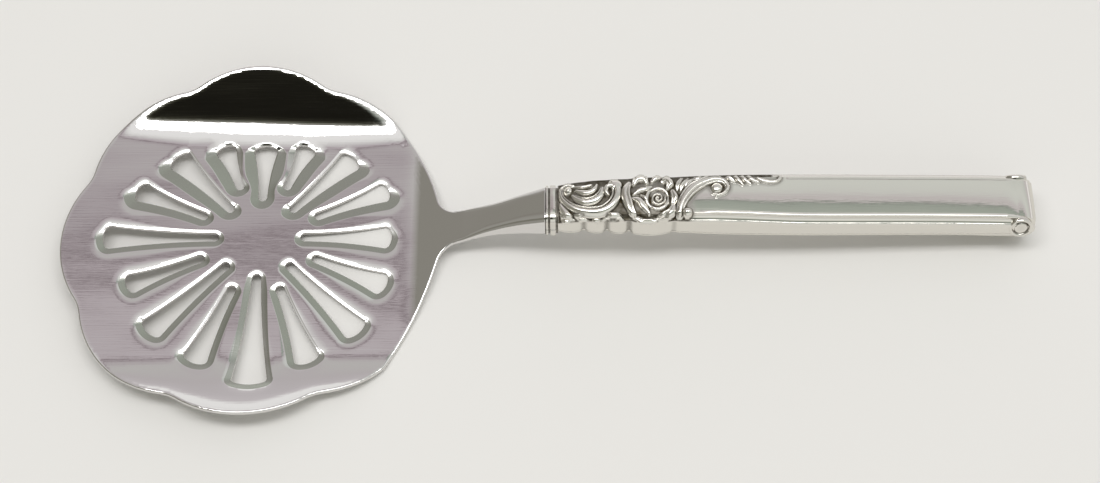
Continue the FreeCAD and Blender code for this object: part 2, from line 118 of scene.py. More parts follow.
class HandleSettings(bpy.types.PropertyGroup):
    seam_rise: angle("Seam rise", 0.8, "How far the seam rises from the mouth to the end")
    crown: length("Crown", 0.15, "How far the top face is crowned")
    cove_sag: length("Cove depth", 0.22, "How far each cove is hollowed")
    side_swell: length("Side swell", 0.15, "How far the sides swell out")
    carving_height: FloatProperty(name="Carving height", default=1.0, min=0.0, max=2.0,
                                  description="Height of the carving against the drawn height")
    silver: colour("Silver", "#E4E1DA", "Colour of the polished silver")
    # The tarnish colour also paints the shade in the low places beside high ones and in the furrows
    tarnish_and_shade: colour("Tarnish", "#3B3424", "Colour of the darkened silver in the carving")


class StageSettings(bpy.types.PropertyGroup):
    floor: colour("Floor", "#E6E4E1", "Colour of the plain floor")
    camera_distance: length("Camera distance", 406.2, "From the camera to the point it looks at")
    camera_height: angle("Camera height", 63.8, "Elevation of the camera above the blade's plane")
    lens: FloatProperty(name="Lens", default=62.18, min=10.0, max=300.0,
                        description="Focal length on a 36 mm wide sensor")


# Frames: the server's own, as drawn, and the row's, in which it lies at rest

def row_matrix():
    """Give the placement from the server's frame, in mm, to the row's, in metres."""
    mount = frame["record"]["mounts"][0]
    axis = mount["axis"]
    turn = Matrix.Rotation(math.atan2(-axis[0], -axis[2]), 4, "Y")
    return Matrix.Translation(Vector(mount["pos_m"])) @ turn @ Matrix.Scale(metres(1.0), 4)


HANDLE_MOUTH = (61.2, 0.0, 13.15)


def handle_matrix():
    """Give the placement from the handle's frame, zero at its mouth, to the row's."""
    rise = bpy.context.scene.server_handle.seam_rise
    return (row_matrix() @ Matrix.Translation(Vector(HANDLE_MOUTH))
            @ Matrix.Rotation(-rise, 4, "Y"))


# Nodes and materials

def add(tree, kind, links=None, **settings):
    """Add one node, set its sockets and values, and link its inputs."""
    node = tree.nodes.new(kind)
    for name, value in settings.items():
        if name in node.inputs:
            node.inputs[name].default_value = value
        else:
            setattr(node, name, value)
    for name, (source, output) in (links or {}).items():
        tree.links.new(source.outputs[output], node.inputs[name])
    return node


def new_material(name):
    material = bpy.data.materials.new(name)
    material.use_nodes = True
    material.node_tree.nodes.clear()
    return material, material.node_tree


def finish_material(tree, shader):
    add(tree, "ShaderNodeOutputMaterial", {"Surface": (shader, "BSDF")})


def polished_stainless_steel():
    """Rolled stainless steel plate, mirror polished by hand: a clear mirror with the
    faint lines of the buff along the server, a little waviness and fine scratches."""
    settings = bpy.context.scene.server_blade
    material, tree = new_material("polished_stainless_steel")
    place = add(tree, "ShaderNodeTexCoord")
    # Lines of the buff: 11.8 mm long and 0.35 mm apart
    lines = add(tree, "ShaderNodeMapping", {"Vector": (place, "Object")},
                Scale=cycles(11.8, 0.351, 2.5))
    buff = add(tree, "ShaderNodeTexNoise", {"Vector": (lines, "Vector")},
               Scale=1.0, Detail=3.0, Roughness=0.6)
    # Waviness of the plate: 26 mm along and 12 mm across
    sheet = add(tree, "ShaderNodeMapping", {"Vector": (place, "Object")},
                Scale=cycles(26.3, 11.8, 16.7))
    wave = add(tree, "ShaderNodeTexNoise", {"Vector": (sheet, "Vector")}, Scale=1.0, Detail=1.0)
    broad = add(tree, "ShaderNodeBump", {"Height": (wave, "Fac")},
                Strength=0.2, Distance=metres(0.8))
    fine = add(tree, "ShaderNodeBump", {"Height": (buff, "Fac"), "Normal": (broad, "Normal")},
               Strength=0.10, Distance=metres(0.06))
    smear = add(tree, "ShaderNodeMapRange", {"Value": (buff, "Fac")},
                **{"To Min": 0.02, "To Max": 0.07})
    # The die leaves the slopes round the slots satin; their colour, greyer than the polished plate
    # on the sides that face the viewer, is a painted grey reflection
    coined = add(tree, "ShaderNodeAttribute", attribute_name="coined")
    tint = add(tree, "ShaderNodeMix", {"Factor": (coined, "Fac")}, data_type="RGBA",
               A=opaque(settings.steel), B=opaque(settings.satin))
    satin = add(tree, "ShaderNodeMix", {"Factor": (coined, "Fac"), "A": (smear, "Result")},
                data_type="FLOAT", B=0.24)
    shader = add(tree, "ShaderNodeBsdfPrincipled",
                 {"Base Color": (tint, "Result"), "Normal": (fine, "Normal"),
                  "Roughness": (satin, "Result")}, Metallic=1.0)
    finish_material(tree, shader)
    return material


def polished_silver():
    """Stamped sterling silver, polished on the high places and tarnished on the carving's
    ground, with painted shade in the low places beside high ones and in the furrows, and
    the soft scuffs of use."""
    settings = bpy.context.scene.server_handle
    material, tree = new_material("polished_silver")
    place = add(tree, "ShaderNodeTexCoord")
    # Tarnish and painted shade in the low places, in patches 1.1 mm wide
    depth = add(tree, "ShaderNodeAttribute", attribute_name="tarnish_and_shade")
    patch = add(tree, "ShaderNodeTexNoise", {"Vector": (place, "Object")},
                Scale=cycles(1.11)[0], Detail=3.0)
    patchy = add(tree, "ShaderNodeMapRange", {"Value": (patch, "Fac")},
                 **{"To Min": 0.75, "To Max": 1.2})
    amount = add(tree, "ShaderNodeMath", {0: (depth, "Fac"), 1: (patchy, "Result")},
                 operation="MULTIPLY", use_clamp=True)
    tint = add(tree, "ShaderNodeMix", {"Factor": (amount, "Value")}, data_type="RGBA",
               A=opaque(settings.silver), B=opaque(settings.tarnish_and_shade))
    dull = add(tree, "ShaderNodeMapRange", {"Value": (amount, "Value")},
               **{"To Min": 0.05, "To Max": 0.5})
    # The stamped forms are buffed less than the plain faces, so their lights are broader
    stamped = add(tree, "ShaderNodeAttribute", attribute_name="stamped")
    satin = add(tree, "ShaderNodeMapRange", {"Value": (stamped, "Fac")},
                **{"To Min": 0.0, "To Max": 0.17})
    rough = add(tree, "ShaderNodeMath", {0: (dull, "Result"), 1: (satin, "Result")},
                operation="MAXIMUM")
    # Scuffs along the handle: 8 mm long and 0.3 mm apart
    lines = add(tree, "ShaderNodeMapping", {"Vector": (place, "Object")},
                Scale=cycles(8.33, 0.303, 0.303))
    scuff = add(tree, "ShaderNodeTexNoise", {"Vector": (lines, "Vector")}, Scale=1.0, Detail=2.0)
    # Unevenness of the stamped sheet, 11 mm wide
    soft = add(tree, "ShaderNodeTexNoise", {"Vector": (place, "Object")},
               Scale=cycles(11.1)[0], Detail=1.0)
    broad = add(tree, "ShaderNodeBump", {"Height": (soft, "Fac")},
                Strength=0.1, Distance=metres(0.5))
    fine = add(tree, "ShaderNodeBump", {"Height": (scuff, "Fac"), "Normal": (broad, "Normal")},
               Strength=0.08, Distance=metres(0.05))
    shader = add(tree, "ShaderNodeBsdfPrincipled",
                 {"Base Color": (tint, "Result"), "Roughness": (rough, "Value"),
                  "Normal": (fine, "Normal")}, Metallic=1.0)
    finish_material(tree, shader)
    return material


def hard_cement():
    """Resin and chalk cement poured into the hollow handle: dull, brown and grainy."""
    material, tree = new_material("hard_cement")
    place = add(tree, "ShaderNodeTexCoord")
    # Grains 0.4 mm wide
    grain = add(tree, "ShaderNodeTexNoise", {"Vector": (place, "Object")},
                Scale=cycles(0.4)[0], Detail=3.0)
    tint = add(tree, "ShaderNodeMix", {"Factor": (grain, "Fac")}, data_type="RGBA",
               A=opaque(linear("#5A4C3F")), B=opaque(linear("#75675A")))
    relief = add(tree, "ShaderNodeBump", {"Height": (grain, "Fac")},
                 Strength=0.4, Distance=metres(0.1))
    shader = add(tree, "ShaderNodeBsdfPrincipled",
                 {"Base Color": (tint, "Result"), "Normal": (relief, "Normal")}, Roughness=0.85)
    finish_material(tree, shader)
    return material


# Meshes

def new_piece(name, bm, material, matrix):
    """Turn a bmesh into an object at the origin, with its place in its mesh."""
    bmesh.ops.transform(bm, matrix=matrix, verts=bm.verts)
    bmesh.ops.recalc_face_normals(bm, faces=bm.faces)
    mesh = bpy.data.meshes.new(name)
    bm.to_mesh(mesh)
    bm.free()
    mesh.materials.append(material)
    mesh.shade_smooth()
    piece = bpy.data.objects.new(name, mesh)
    bpy.context.scene.collection.objects.link(piece)
    return piece


def even_normals(piece):
    """Let the broad faces rule the shading, so that the small ones take the rounding."""
    modifier = piece.modifiers.new("even_normals", "WEIGHTED_NORMAL")
    modifier.mode = "FACE_AREA"
    modifier.weight = 100
    modifier.keep_sharp = True


def arc_points(a, b, c, count):
    """Give points along the arc through three points, without the last one."""
    (ax, ay), (bx, by), (cx, cy) = a, b, c
    d = 2 * (ax * (by - cy) + bx * (cy - ay) + cx * (ay - by))
    sa, sb, sc = ax * ax + ay * ay, bx * bx + by * by, cx * cx + cy * cy
    ox = (sa * (by - cy) + sb * (cy - ay) + sc * (ay - by)) / d
    oy = (sa * (cx - bx) + sb * (ax - cx) + sc * (bx - ax)) / d
    radius = math.hypot(ax - ox, ay - oy)
    first = math.atan2(ay - oy, ax - ox)
    sweep = (math.atan2(cy - oy, cx - ox) - first) % (2 * math.pi)
    mid = (math.atan2(by - oy, bx - ox) - first) % (2 * math.pi)
    if mid > sweep:
        sweep -= 2 * math.pi
    return [(ox + radius * math.cos(first + sweep * i / count),
             oy + radius * math.sin(first + sweep * i / count)) for i in range(count)]


def blend(value, start, span):
    """Give 0 up to a start, 1 from a span after it, and the share of the way between."""
    return np.clip((value - start) / span, 0.0, 1.0)


# Keeps the sharp corners of an offset loop from being pushed too far out
CORNER_LEAST = 0.6


def offset_loop(points, distance):
    """Move each point of a closed loop outwards, square to the loop."""
    points = np.asarray(points, float)
    after = np.roll(points, -1, axis=0) - points
    after /= np.linalg.norm(after, axis=1)[:, None]
    before = np.roll(after, 1, axis=0)
    normal = np.stack([after[:, 1] + before[:, 1], -after[:, 0] - before[:, 0]], axis=1)
    size = np.maximum((normal ** 2).sum(axis=1) / 2, CORNER_LEAST)[:, None]
    return points + normal / size * np.reshape(distance, (-1, 1))


# Blade: where its shape comes from, in mm from the middle of its slots

BLANK_SHIFT = (-1.2, -1.0)
SCALLOPS = 8
# The scalloped rim runs from this angle round to the same one on the near side
RIM_START = 45.6
RIM_POINTS = 280
SHOULDER_MID = (34.3, 18.0)
SHOULDER_END = (38.3, 7.0)
SHOULDER_POINTS = 26
NECK_FILLET = (39.9, 4.75)
NECK = (43.2, 3.5)
NECK_POINTS = 10
NECK_END = 46.0
# Rolled rim, as steps out from the outline with depths below the nearer face, and how
# much further in the rings beside it lie
RIM = [(-0.50, 0.0), (-0.30, 0.03), (-0.14, 0.12), (-0.04, 0.26), (0.0, 0.42)]
RIM_RINGS = (2.6, 1.9, 1.25, 0.6)
# The rings draw together over this stretch before the neck, down to this share
RINGS_END, RINGS_BLEND, RINGS_LEAST = 41.0, 4.0, 0.15

SLOTS = 16
LONG_START = 8.7
SHORT_START = 12.4
SLOT_START_HALF = 0.95
SLOT_WAIST = 0.4
SLOT_BOW = 0.9
SLOT_CORNER = 0.75
# Points along half a slot: its round start, its side, its corner and half its end
SLOT_PARTS = (6, 14, 6, 5)
SLOT_REACH = [28.2, 29.4, 27.3, 23.9, 22.2, 23.9, 27.5, 29.6,
              33.5, 29.8, 31.2, 31.4, 34.3, 31.5, 31.4, 29.7]
SLOT_END_HALF = [2.7, 2.4, 2.8, 2.4, 2.7, 2.4, 2.8, 2.4,
                 2.8, 2.4, 2.8, 2.8, 3.8, 2.8, 2.8, 2.7]
# Slopes round the slots: the share of the coined width on a slot's far side, what its
# other sides add, and what they add between the far slots
SLOPE_SHARES = (0.45, 0.85, 1.1)
# Where a side's direction is fully far, and where the far slots start, with their blends
FACING_LIMIT, FACING_BLEND = 0.30, 0.25
FAR_SLOTS, FAR_SLOTS_BLEND = 2.0, 10.0
# Flat that stays between two slopes, the neighbour's share of the room, and the width of
# the soft edge beyond a slope
BRIDGE = 0.3
NEIGHBOUR_SHARE = 1.2
SOFT_LEAST, SOFT_MOST, SOFT_GAP = 0.06, 1.6, 0.2
# Soft edge and slope, as shares of their width with shares of their depth
SOFT_EDGE = ((1.0, 0.0), (0.66, 0.12), (0.33, 0.45), (0.0, 1.0))
SLOPE = ((0.93, 0.10), (0.84, 0.22), (0.45, 0.68), (0.1, 0.97), (0.03, 1.06))
DISH_MOST, DISH_STEEP = 0.09, 0.07
SLOPE_STEEP = 0.27
# Lip under a slope, and the round at the lower edge of a slot's wall, as steps out with
# their heights
WELL_LIP = 0.1
WELL_ROUND = ((0.0, 0.14), (0.05, 0.03), (0.14, 0.0))
# Points looked over to each side, for the room and for the widths
ROOM_REACH, WIDTH_REACH = 6, 2
# Angles at which the flats are filled, in turn
FILL_ANGLES = (17.3, 7.9, 29.1, 41.7, 58.3, 71.9)

# Distance, top, half width, half height and squareness of the oval
SHANK_STATIONS = [(39.6, 4.45, 4.3, 0.45, 7.0), (42.0, 5.84, 3.72, 0.60, 6.0),
                  (43.5, 6.66, 3.58, 0.80, 5.0), (45.0, 7.72, 3.52, 1.02, 4.0),
                  (47.5, 9.36, 3.40, 1.40, 3.6), (50.0, 10.8, 3.35, 1.75, 3.6),
                  (55.5, 14.0, 3.75, 2.70, 4.0), (61.2, 16.7, 4.40, 3.55, 4.5)]
# Radius at the mouth and at the tip, and length
TANG = (2.0, 1.2, 38.0)
SHANK_ROWS = 60
ROUND_COLUMNS = 65


def blade_outline(settings):
    """Give the flat outline of the blade, anticlockwise, from the neck's near end."""
    crest = mm(settings.crest_radius)
    notch_round = mm(settings.notch_round)
    hollow = mm(settings.notch_radius) + notch_round
    half_step = math.pi / SCALLOPS
    outer = crest + notch_round
    centre = (outer ** 2 - hollow ** 2) / (2 * (outer - hollow * math.cos(half_step)))
    lobe = crest - centre
    share = lobe / (lobe + notch_round)
    meet_x = centre + (hollow * math.cos(half_step) - centre) * share
    meet_y = hollow * math.sin(half_step) * share
    meet = math.atan2(meet_y, meet_x)
    points = []
    first, last = math.radians(RIM_START), math.radians(360.0 - RIM_START)
    for index in range(RIM_POINTS + 1):
        turn = first + (last - first) * index / RIM_POINTS
        nearest = round(turn / (2 * half_step)) * 2 * half_step
        off = turn - nearest
        if abs(off) < meet:
            radius = centre * math.cos(off) + math.sqrt(lobe ** 2 - (centre * math.sin(off)) ** 2)
        else:
            off = half_step - abs(off)
            radius = hollow * math.cos(off) - math.sqrt(
                notch_round ** 2 - (hollow * math.sin(off)) ** 2)
        points.append((BLANK_SHIFT[0] + radius * math.cos(turn),
                       BLANK_SHIFT[1] + radius * math.sin(turn)))

    def mirrored(point):
        return point[0], -point[1]

    near = arc_points(points[-1], mirrored(SHOULDER_MID), mirrored(SHOULDER_END),
                      SHOULDER_POINTS)
    near += arc_points(mirrored(SHOULDER_END), mirrored(NECK_FILLET), mirrored(NECK),
                       NECK_POINTS)
    near += [mirrored(NECK), (NECK_END, -NECK[1])]
    far = arc_points(NECK, NECK_FILLET, SHOULDER_END, NECK_POINTS)
    far += arc_points(SHOULDER_END, SHOULDER_MID, points[0], SHOULDER_POINTS)
    return points[:-1] + near + [(NECK_END, NECK[1])] + far


def slot_outline(index):
    """Give one slot's loop along its own axis: a round start, waisted sides, rounded
    corners and a bowed end."""
    start = LONG_START if index % 2 == 0 else SHORT_START
    reach = SLOT_REACH[index]
    a, b = SLOT_START_HALF, SLOT_END_HALF[index]
    inner, outer = start + a, reach - SLOT_BOW
    rounds, sides, corners, ends = SLOT_PARTS
    half = []
    for i in range(rounds):
        turn = math.pi - i * math.pi / (2 * rounds)
        half.append((inner + a * math.cos(turn), a * math.sin(turn)))
    for i in range(sides):
        at = i / sides * (1 - SLOT_CORNER / (outer - inner))
        half.append((inner + (outer - inner) * at,
                     a + (b - a) * at - 4 * SLOT_WAIST * at * (1 - at)))
    x1 = outer - SLOT_CORNER
    y1 = b - (b - a + 4 * SLOT_WAIST) / (outer - inner) * SLOT_CORNER
    x2, y2 = outer + SLOT_BOW * (1 - (1 - SLOT_CORNER / b) ** 2), b - SLOT_CORNER
    for i in range(corners):
        t = i / corners
        half.append(((1 - t) ** 2 * x1 + 2 * t * (1 - t) * outer + t * t * x2,
                     (1 - t) ** 2 * y1 + 2 * t * (1 - t) * b + t * t * y2))
    for i in range(ends + 1):
        y = y2 * (1 - i / ends)
        half.append((outer + SLOT_BOW * (1 - (y / b) ** 2), y))
    loop = half + [(x, -y) for x, y in reversed(half[1:-1])]
    return np.array(loop)[::-1]


def wall(bm, layer, rings):
    """Make the edges of a loop and draw them through the other rings, each with its
    points, their height and how far they are coined, which gives their satin roughness and
    their painted grey reflection. Gives the first and last edges."""
    def place(verts, ring):
        flat, height, coined = ring
        rows = zip(verts, flat, np.broadcast_to(height, len(flat)),
                   np.broadcast_to(coined, len(flat)))
        for vert, (x, y), z, share in rows:
            vert.co = (x, y, z)
            vert[layer] = share

    verts = [bm.verts.new() for _ in rings[0][0]]
    place(verts, rings[0])
    edges = [bm.edges.new((verts[i], verts[(i + 1) % len(verts)])) for i in range(len(verts))]
    first = edges
    for ring in rings[1:]:
        made = bmesh.ops.extrude_edge_only(bm, edges=edges)["geom"]
        fresh = {item for item in made if isinstance(item, bmesh.types.BMVert)}
        edges = [item for item in made if isinstance(item, bmesh.types.BMEdge)
                 and fresh.issuperset(item.verts)]
        below = {edge.other_vert(vert): vert for vert in fresh for edge in vert.link_edges
                 if edge.other_vert(vert) not in fresh}
        verts = [below[vert] for vert in verts]
        place(verts, ring)
    return first, edges


def mean_of(row, reach):
    """Average a closed loop's values over so many neighbours each way."""
    return sum(np.roll(row, shift) for shift in range(-reach, reach + 1)) / (2 * reach + 1)


def slope_widths(loops, width):
    """Give how wide the coined slope is round each slot: narrow on the far side and wide
    elsewhere, wider still between the far slots, and sharing what room there is. Each
    comes with how far its soft edge may go and how much its wall faces the viewer."""
    least, faced, far_more = SLOPE_SHARES
    wanted, facings = [], []
    for loop in loops:
        normal = offset_loop(loop, np.ones(len(loop))) - loop
        facing = blend(-normal[:, 1], -FACING_LIMIT, FACING_BLEND)
        far_half = blend(loop[:, 1], FAR_SLOTS, FAR_SLOTS_BLEND)
        wanted.append(width * (least + facing * (faced + far_more * far_half)))
        facings.append(facing)
    widths = []
    for index, loop in enumerate(loops):
        share = np.ones(len(loop))
        room = np.full(len(loop), np.inf)
        for other in (index - 1, (index + 1) % len(loops)):
            gaps = np.hypot(*(loop[:, None] - loops[other][None]).transpose(2, 0, 1))
            beside = wanted[other][gaps.argmin(axis=1)]
            gap = gaps.min(axis=1) - BRIDGE
            fitting = gap / (wanted[index] + beside)
            share = np.minimum(share, fitting)
            room = np.minimum(room, gap - NEIGHBOUR_SHARE * beside * np.minimum(fitting, 1.0))
        shifts = range(-ROOM_REACH, ROOM_REACH + 1)
        tight = mean_of(np.min([np.roll(room, shift) for shift in shifts], axis=0), ROOM_REACH)
        coined = mean_of(wanted[index] * share, WIDTH_REACH)
        soft = np.clip(tight - SOFT_GAP, coined + SOFT_LEAST, coined + SOFT_MOST)
        widths.append((coined, soft, mean_of(facings[index], WIDTH_REACH)))
    return widths


def fill_flat(bm, edges, up):
    """Fill between flat loops. The fill can miss a part where edges line up with its
    sweep, so the loops are turned, to other angles until nothing is missed."""
    for degrees in FILL_ANGLES:
        turn = Matrix.Rotation(math.radians(degrees), 4, "Z")
        bmesh.ops.rotate(bm, verts=bm.verts, cent=(0, 0, 0), matrix=turn)
        made = bmesh.ops.triangle_fill(bm, edges=edges, use_beauty=True, normal=(0, 0, up))
        bmesh.ops.rotate(bm, verts=bm.verts, cent=(0, 0, 0), matrix=turn.inverted())
        if all(len(edge.link_faces) == 2 for edge in edges):
            return
        faces = [item for item in made["geom"] if isinstance(item, bmesh.types.BMFace)]
        bmesh.ops.delete(bm, geom=faces, context="FACES")
    raise RuntimeError("the flat of the blade could not be filled")


def blade_bmesh(settings):
    """Press the blade flat: top, bottom, rolled rim and sixteen coined slots."""
    plate = mm(settings.plate)
    width = mm(settings.coin_width)
    depth = mm(settings.coin_depth)
    bm = bmesh.new()
    outline = blade_outline(settings)
    # Rings inside the rim, which follow its flare, closer together at the narrow neck
    inner = np.clip((RINGS_END - np.array(outline)[:, 0]) / RINGS_BLEND, RINGS_LEAST, 1.0)
    inside = [RIM[0][0] - step * inner for step in RIM_RINGS]
    rim = [(out, plate) for out in inside] + [(out, plate - down) for out, down in RIM]
    rim += [(out, up) for out, up in reversed(RIM)] + [(out, 0.0) for out in reversed(inside)]
    layer = bm.verts.layers.float.new("coined")
    tops, bottoms = wall(bm, layer, [
        (offset_loop(outline, np.broadcast_to(out, len(outline))), z, 0.0) for out, z in rim])
    well = [(0.0, depth + WELL_LIP)] + [(out, plate - up) for out, up in WELL_ROUND]
    loops = []
    for index in range(SLOTS):
        x, y = slot_outline(index).T
        c, s = math.cos(2 * math.pi * index / SLOTS), math.sin(2 * math.pi * index / SLOTS)
        loops.append(np.stack([x * c - y * s, x * s + y * c], 1))
    for loop, (coined, soft, facing) in zip(loops, slope_widths(loops, width)):
        dish = np.minimum(DISH_MOST, DISH_STEEP * (soft - coined))
        deep = np.minimum(depth - dish, SLOPE_STEEP * coined)
        rings = [(offset_loop(loop, coined + (soft - coined) * share), plate - dish * down, 0.0)
                 for share, down in SOFT_EDGE]
        # How much a slope faces the viewer is its coined share: its satin roughness and its painted
        # grey reflection
        rings += [(offset_loop(loop, coined * out), plate - dish - deep * down, facing)
                  for out, down in SLOPE]
        rings += [(offset_loop(loop, np.full(len(loop), out)), plate - down, 0.0)
                  for out, down in well]
        top, bottom = wall(bm, layer, rings)
        tops += top
        bottoms += bottom
    fill_flat(bm, tops, 1)
    fill_flat(bm, bottoms, -1)
    return bm


def bend_span(radius, plate, turn):
    return 2 * (radius + plate / 2) * math.tan(turn / 2)


def fold(along, up, start, radius, turn, plate):
    """Fold flat positions past a bend's start: returns the new distance and height."""
    span = bend_span(radius, plate, turn)
    a = blend(along, start, span) * turn
    r = radius + plate - up
    past = np.maximum(along - start - span, 0.0)
    before = np.minimum(along, start)
    flat = before + r * np.sin(a) + past * np.cos(turn)
    high = radius + plate - r * np.cos(a) + past * np.sin(turn)
    return flat, high


def ramp_height(along, up, start, radius, turn, plate):
    """Give the height of the plate's layer where it bends up to the neck."""
    r = radius + plate - up
    end = start + r * math.sin(turn)
    inside = np.clip(along - start, 0.0, r * math.sin(turn))
    bend = radius + plate - np.sqrt(r ** 2 - inside ** 2)
    return bend + np.maximum(along - end, 0.0) * math.tan(turn)


def soft_max(a, b, width):
    """Give the higher of two heights, rounded where they come closer than a width."""
    gap = np.clip(width - np.abs(a - b), 0.0, None)
    return np.maximum(a, b) + gap ** 2 / (4 * width)


BEND_MIDDLE = -1.0
BEND_HALF = 30.0
# How much earlier each bend starts, how much later at its two ends, and its slant
FAR_UNEVEN = (0.0, 2.4, 0.026)
NEAR_UNEVEN = (2.2, 0.0, 0.02)
# Cuts before and over a bend, cuts past it, and cuts along the ramp, with their spacing
BEND_CUTS_BEFORE, BEND_CUTS = 5, 12
PAST_CUTS, PAST_STEP = 16, 0.8
RAMP_CUTS, RAMP_STEP = 22, 0.6
FLAP_CUTS, FLAP_STEP = 14, 2.5
RAMP_BLEND = 0.25
# Flaps: where they start, how far in from the edge their rims turn, and how much
FAR_FLAP, NEAR_FLAP, FLAP_BLEND = 24.0, 31.0, 5.0
FAR_REACH, FAR_REACH_ENDS, NEAR_REACH = 1.0, 1.8, 4.2
FAR_FLARE, NEAR_FLARE = -0.22, 0.24


def rim_flare(x, y, outline):
    """Give how far the rims of the two flaps turn: the far one back down, more so at its
    two ends, and the near one further up."""
    flare = np.zeros(len(x))
    at = np.abs(y) > FAR_FLAP
    points = np.column_stack([x[at], y[at]])
    gap = np.hypot(*(points[:, None] - outline[None]).transpose(2, 0, 1)).min(axis=1)
    far = points[:, 1] > 0
    ends = blend(np.abs(points[:, 0] - BEND_MIDDLE), 0.0, BEND_HALF)
    reach = np.where(far, FAR_REACH + FAR_REACH_ENDS * ends ** 2, NEAR_REACH)
    slope = np.where(far, FAR_FLARE, NEAR_FLARE)
    past = np.clip(reach - gap, 0.0, None)
    flap = blend(np.abs(points[:, 1]), np.where(far, FAR_FLAP, NEAR_FLAP), FLAP_BLEND)
    flare[at] = slope * past ** 2 / (2 * reach) * flap * flap * (3 - 2 * flap)
    return flare


def uneven(bend, x, early, late, slant):
    """Give a bend as the hand left it: its start not quite straight, its end as drawn."""
    start, radius, turn = bend
    off = x - BEND_MIDDLE
    shift = late * (off / BEND_HALF) ** 2 - early
    return start + shift - slant * off, radius - shift / (2 * math.tan(turn / 2)), turn


def fold_blade(bm, settings):
    """Cut the flat blade into narrow strips and fold up its two sides and its ramp."""
    plate = mm(settings.plate)
    far = (mm(settings.far_fold), mm(settings.far_radius), settings.far_angle)
    near = (mm(settings.near_fold), mm(settings.near_radius), settings.near_angle)
    ramp = (mm(settings.ramp_start), mm(settings.ramp_radius), settings.ramp_angle)
    cuts = []
    for sign, (start, radius, turn) in ((1, far), (-1, near)):
        span = bend_span(radius, plate, turn)
        at = [start + span * i / BEND_CUTS for i in range(-BEND_CUTS_BEFORE, BEND_CUTS + 1)]
        at += [start + span + PAST_STEP * i for i in range(1, PAST_CUTS + 1)]
        cuts += [((0, sign * y, 0), (0, 1, 0)) for y in at]
    cuts += [((ramp[0] + RAMP_STEP * i, 0, 0), (1, 0, 0)) for i in range(RAMP_CUTS)]
    for co, normal in cuts:
        geom = bm.verts[:] + bm.edges[:] + bm.faces[:]
        bmesh.ops.bisect_plane(bm, geom=geom, dist=1e-5, plane_co=co, plane_no=normal)
    for i in range(-FLAP_CUTS, FLAP_CUTS + 1):
        verts = [vert for vert in bm.verts if abs(vert.co.y) > FAR_FLAP]
        geom = list(dict.fromkeys(item for vert in verts
                                  for item in (vert, *vert.link_edges, *vert.link_faces)))
        bmesh.ops.bisect_plane(bm, geom=geom, dist=1e-5, plane_co=(FLAP_STEP * i, 0, 0),
                               plane_no=(1, 0, 0))
    x, y, up = np.array([vert.co for vert in bm.verts]).T
    y_far, z_far = fold(y, up, *uneven(far, x, *FAR_UNEVEN), plate)
    y_near, z_near = fold(-y, up, *uneven(near, x, *NEAR_UNEVEN), plate)
    y_new = np.where(y > 0, y_far, -y_near)
    z_side = np.where(y > 0, z_far, z_near)
    z_ramp = ramp_height(x, up, *ramp, plate)
    lifted = (z_side > up + 1e-6) & (z_ramp > up + 1e-6)
    z_new = np.where(lifted, soft_max(z_side, z_ramp, RAMP_BLEND), np.maximum(z_side, z_ramp))
    z_new += rim_flare(x, y, np.array(blade_outline(settings)))
    for vert, co in zip(bm.verts, zip(x, y_new, z_new)):
        vert.co = co


def smooth_table(table, at):
    """Read a table of rows at new places, along a smooth curve through each column."""
    table = np.asarray(table, float)
    known = table[:, 0]
    values = table[:, 1:]
    slope = np.gradient(values, known, axis=0)
    index = np.clip(np.searchsorted(known, at, side="right") - 1, 0, len(known) - 2)
    step = (known[index + 1] - known[index])[:, None]
    t = ((at - known[index])[:, None] / step).clip(0.0, 1.0)
    return ((1 + 2 * t) * (1 - t) ** 2 * values[index] + t * (1 - t) ** 2 * step * slope[index]
            + t * t * (3 - 2 * t) * values[index + 1] - t * t * (1 - t) * step * slope[index + 1])


def grid_skin(rows, columns, place, closed_round=False):
    """Make a grid and lay its rows and columns where place gives, as (row, column)."""
    bm = bmesh.new()
    bmesh.ops.create_grid(bm, x_segments=rows - 1, y_segments=columns - 1, size=0.5)
    flat = np.array([vert.co for vert in bm.verts])
    row = np.rint((flat[:, 0] + 0.5) * (rows - 1)).astype(int)
    column = np.rint((flat[:, 1] + 0.5) * (columns - 1)).astype(int)
    places = place(row, column)
    for vert, co in zip(bm.verts, places):
        vert.co = co
    if closed_round:
        bmesh.ops.remove_doubles(bm, verts=bm.verts, dist=1e-4)
    return bm, row, column


def squared(turn, square):
    """Give a round's two directions, pulled out towards its corners: 2 leaves it round."""
    c, s = np.cos(turn), np.sin(turn)
    return np.sign(c) * np.abs(c) ** (2 / square), np.sign(s) * np.abs(s) ** (2 / square)


def join(bm, part):
    """Move one bmesh's pieces into another."""
    mesh = bpy.data.meshes.new("part")
    part.to_mesh(mesh)
    part.free()
    bm.from_mesh(mesh)
    bpy.data.meshes.remove(mesh)


def add_shank(bm):
    """Forge the shank: an oval bar that grows out of the ramp, its end and its tang."""
    along = np.linspace(SHANK_STATIONS[0][0], SHANK_STATIONS[-1][0], SHANK_ROWS)
    rows = np.column_stack([along, smooth_table(SHANK_STATIONS, along)])
    start, tip, reach = TANG
    mouth, top, _, half_height, _ = SHANK_STATIONS[-1]
    middle = top - half_height
    ends = np.array([(mouth, middle + start, start, start, 2.0),
                     (mouth + reach, middle + tip, tip, tip, 2.0),
                     (mouth + reach, middle, 0.0, 0.0, 2.0)])
    closing = np.array([(rows[0, 0], rows[0, 1] - rows[0, 3], 0.0, 0.0, 2.0)])
    rows = np.vstack([closing, rows, ends])

    def place(row, column):
        turn = 2 * math.pi * column / (ROUND_COLUMNS - 1)
        x, top, wide, high, square = rows[row].T
        across, up = squared(turn, square)
        return np.column_stack([x, wide * across, top - high + high * up])

    shank, _, _ = grid_skin(len(rows), ROUND_COLUMNS, place, closed_round=True)
    join(bm, shank)


# Handle: its sections, from the mouth to the end, as (distance, half width of the top
# face, cove width, half width at the seam, height above the seam, depth below it)

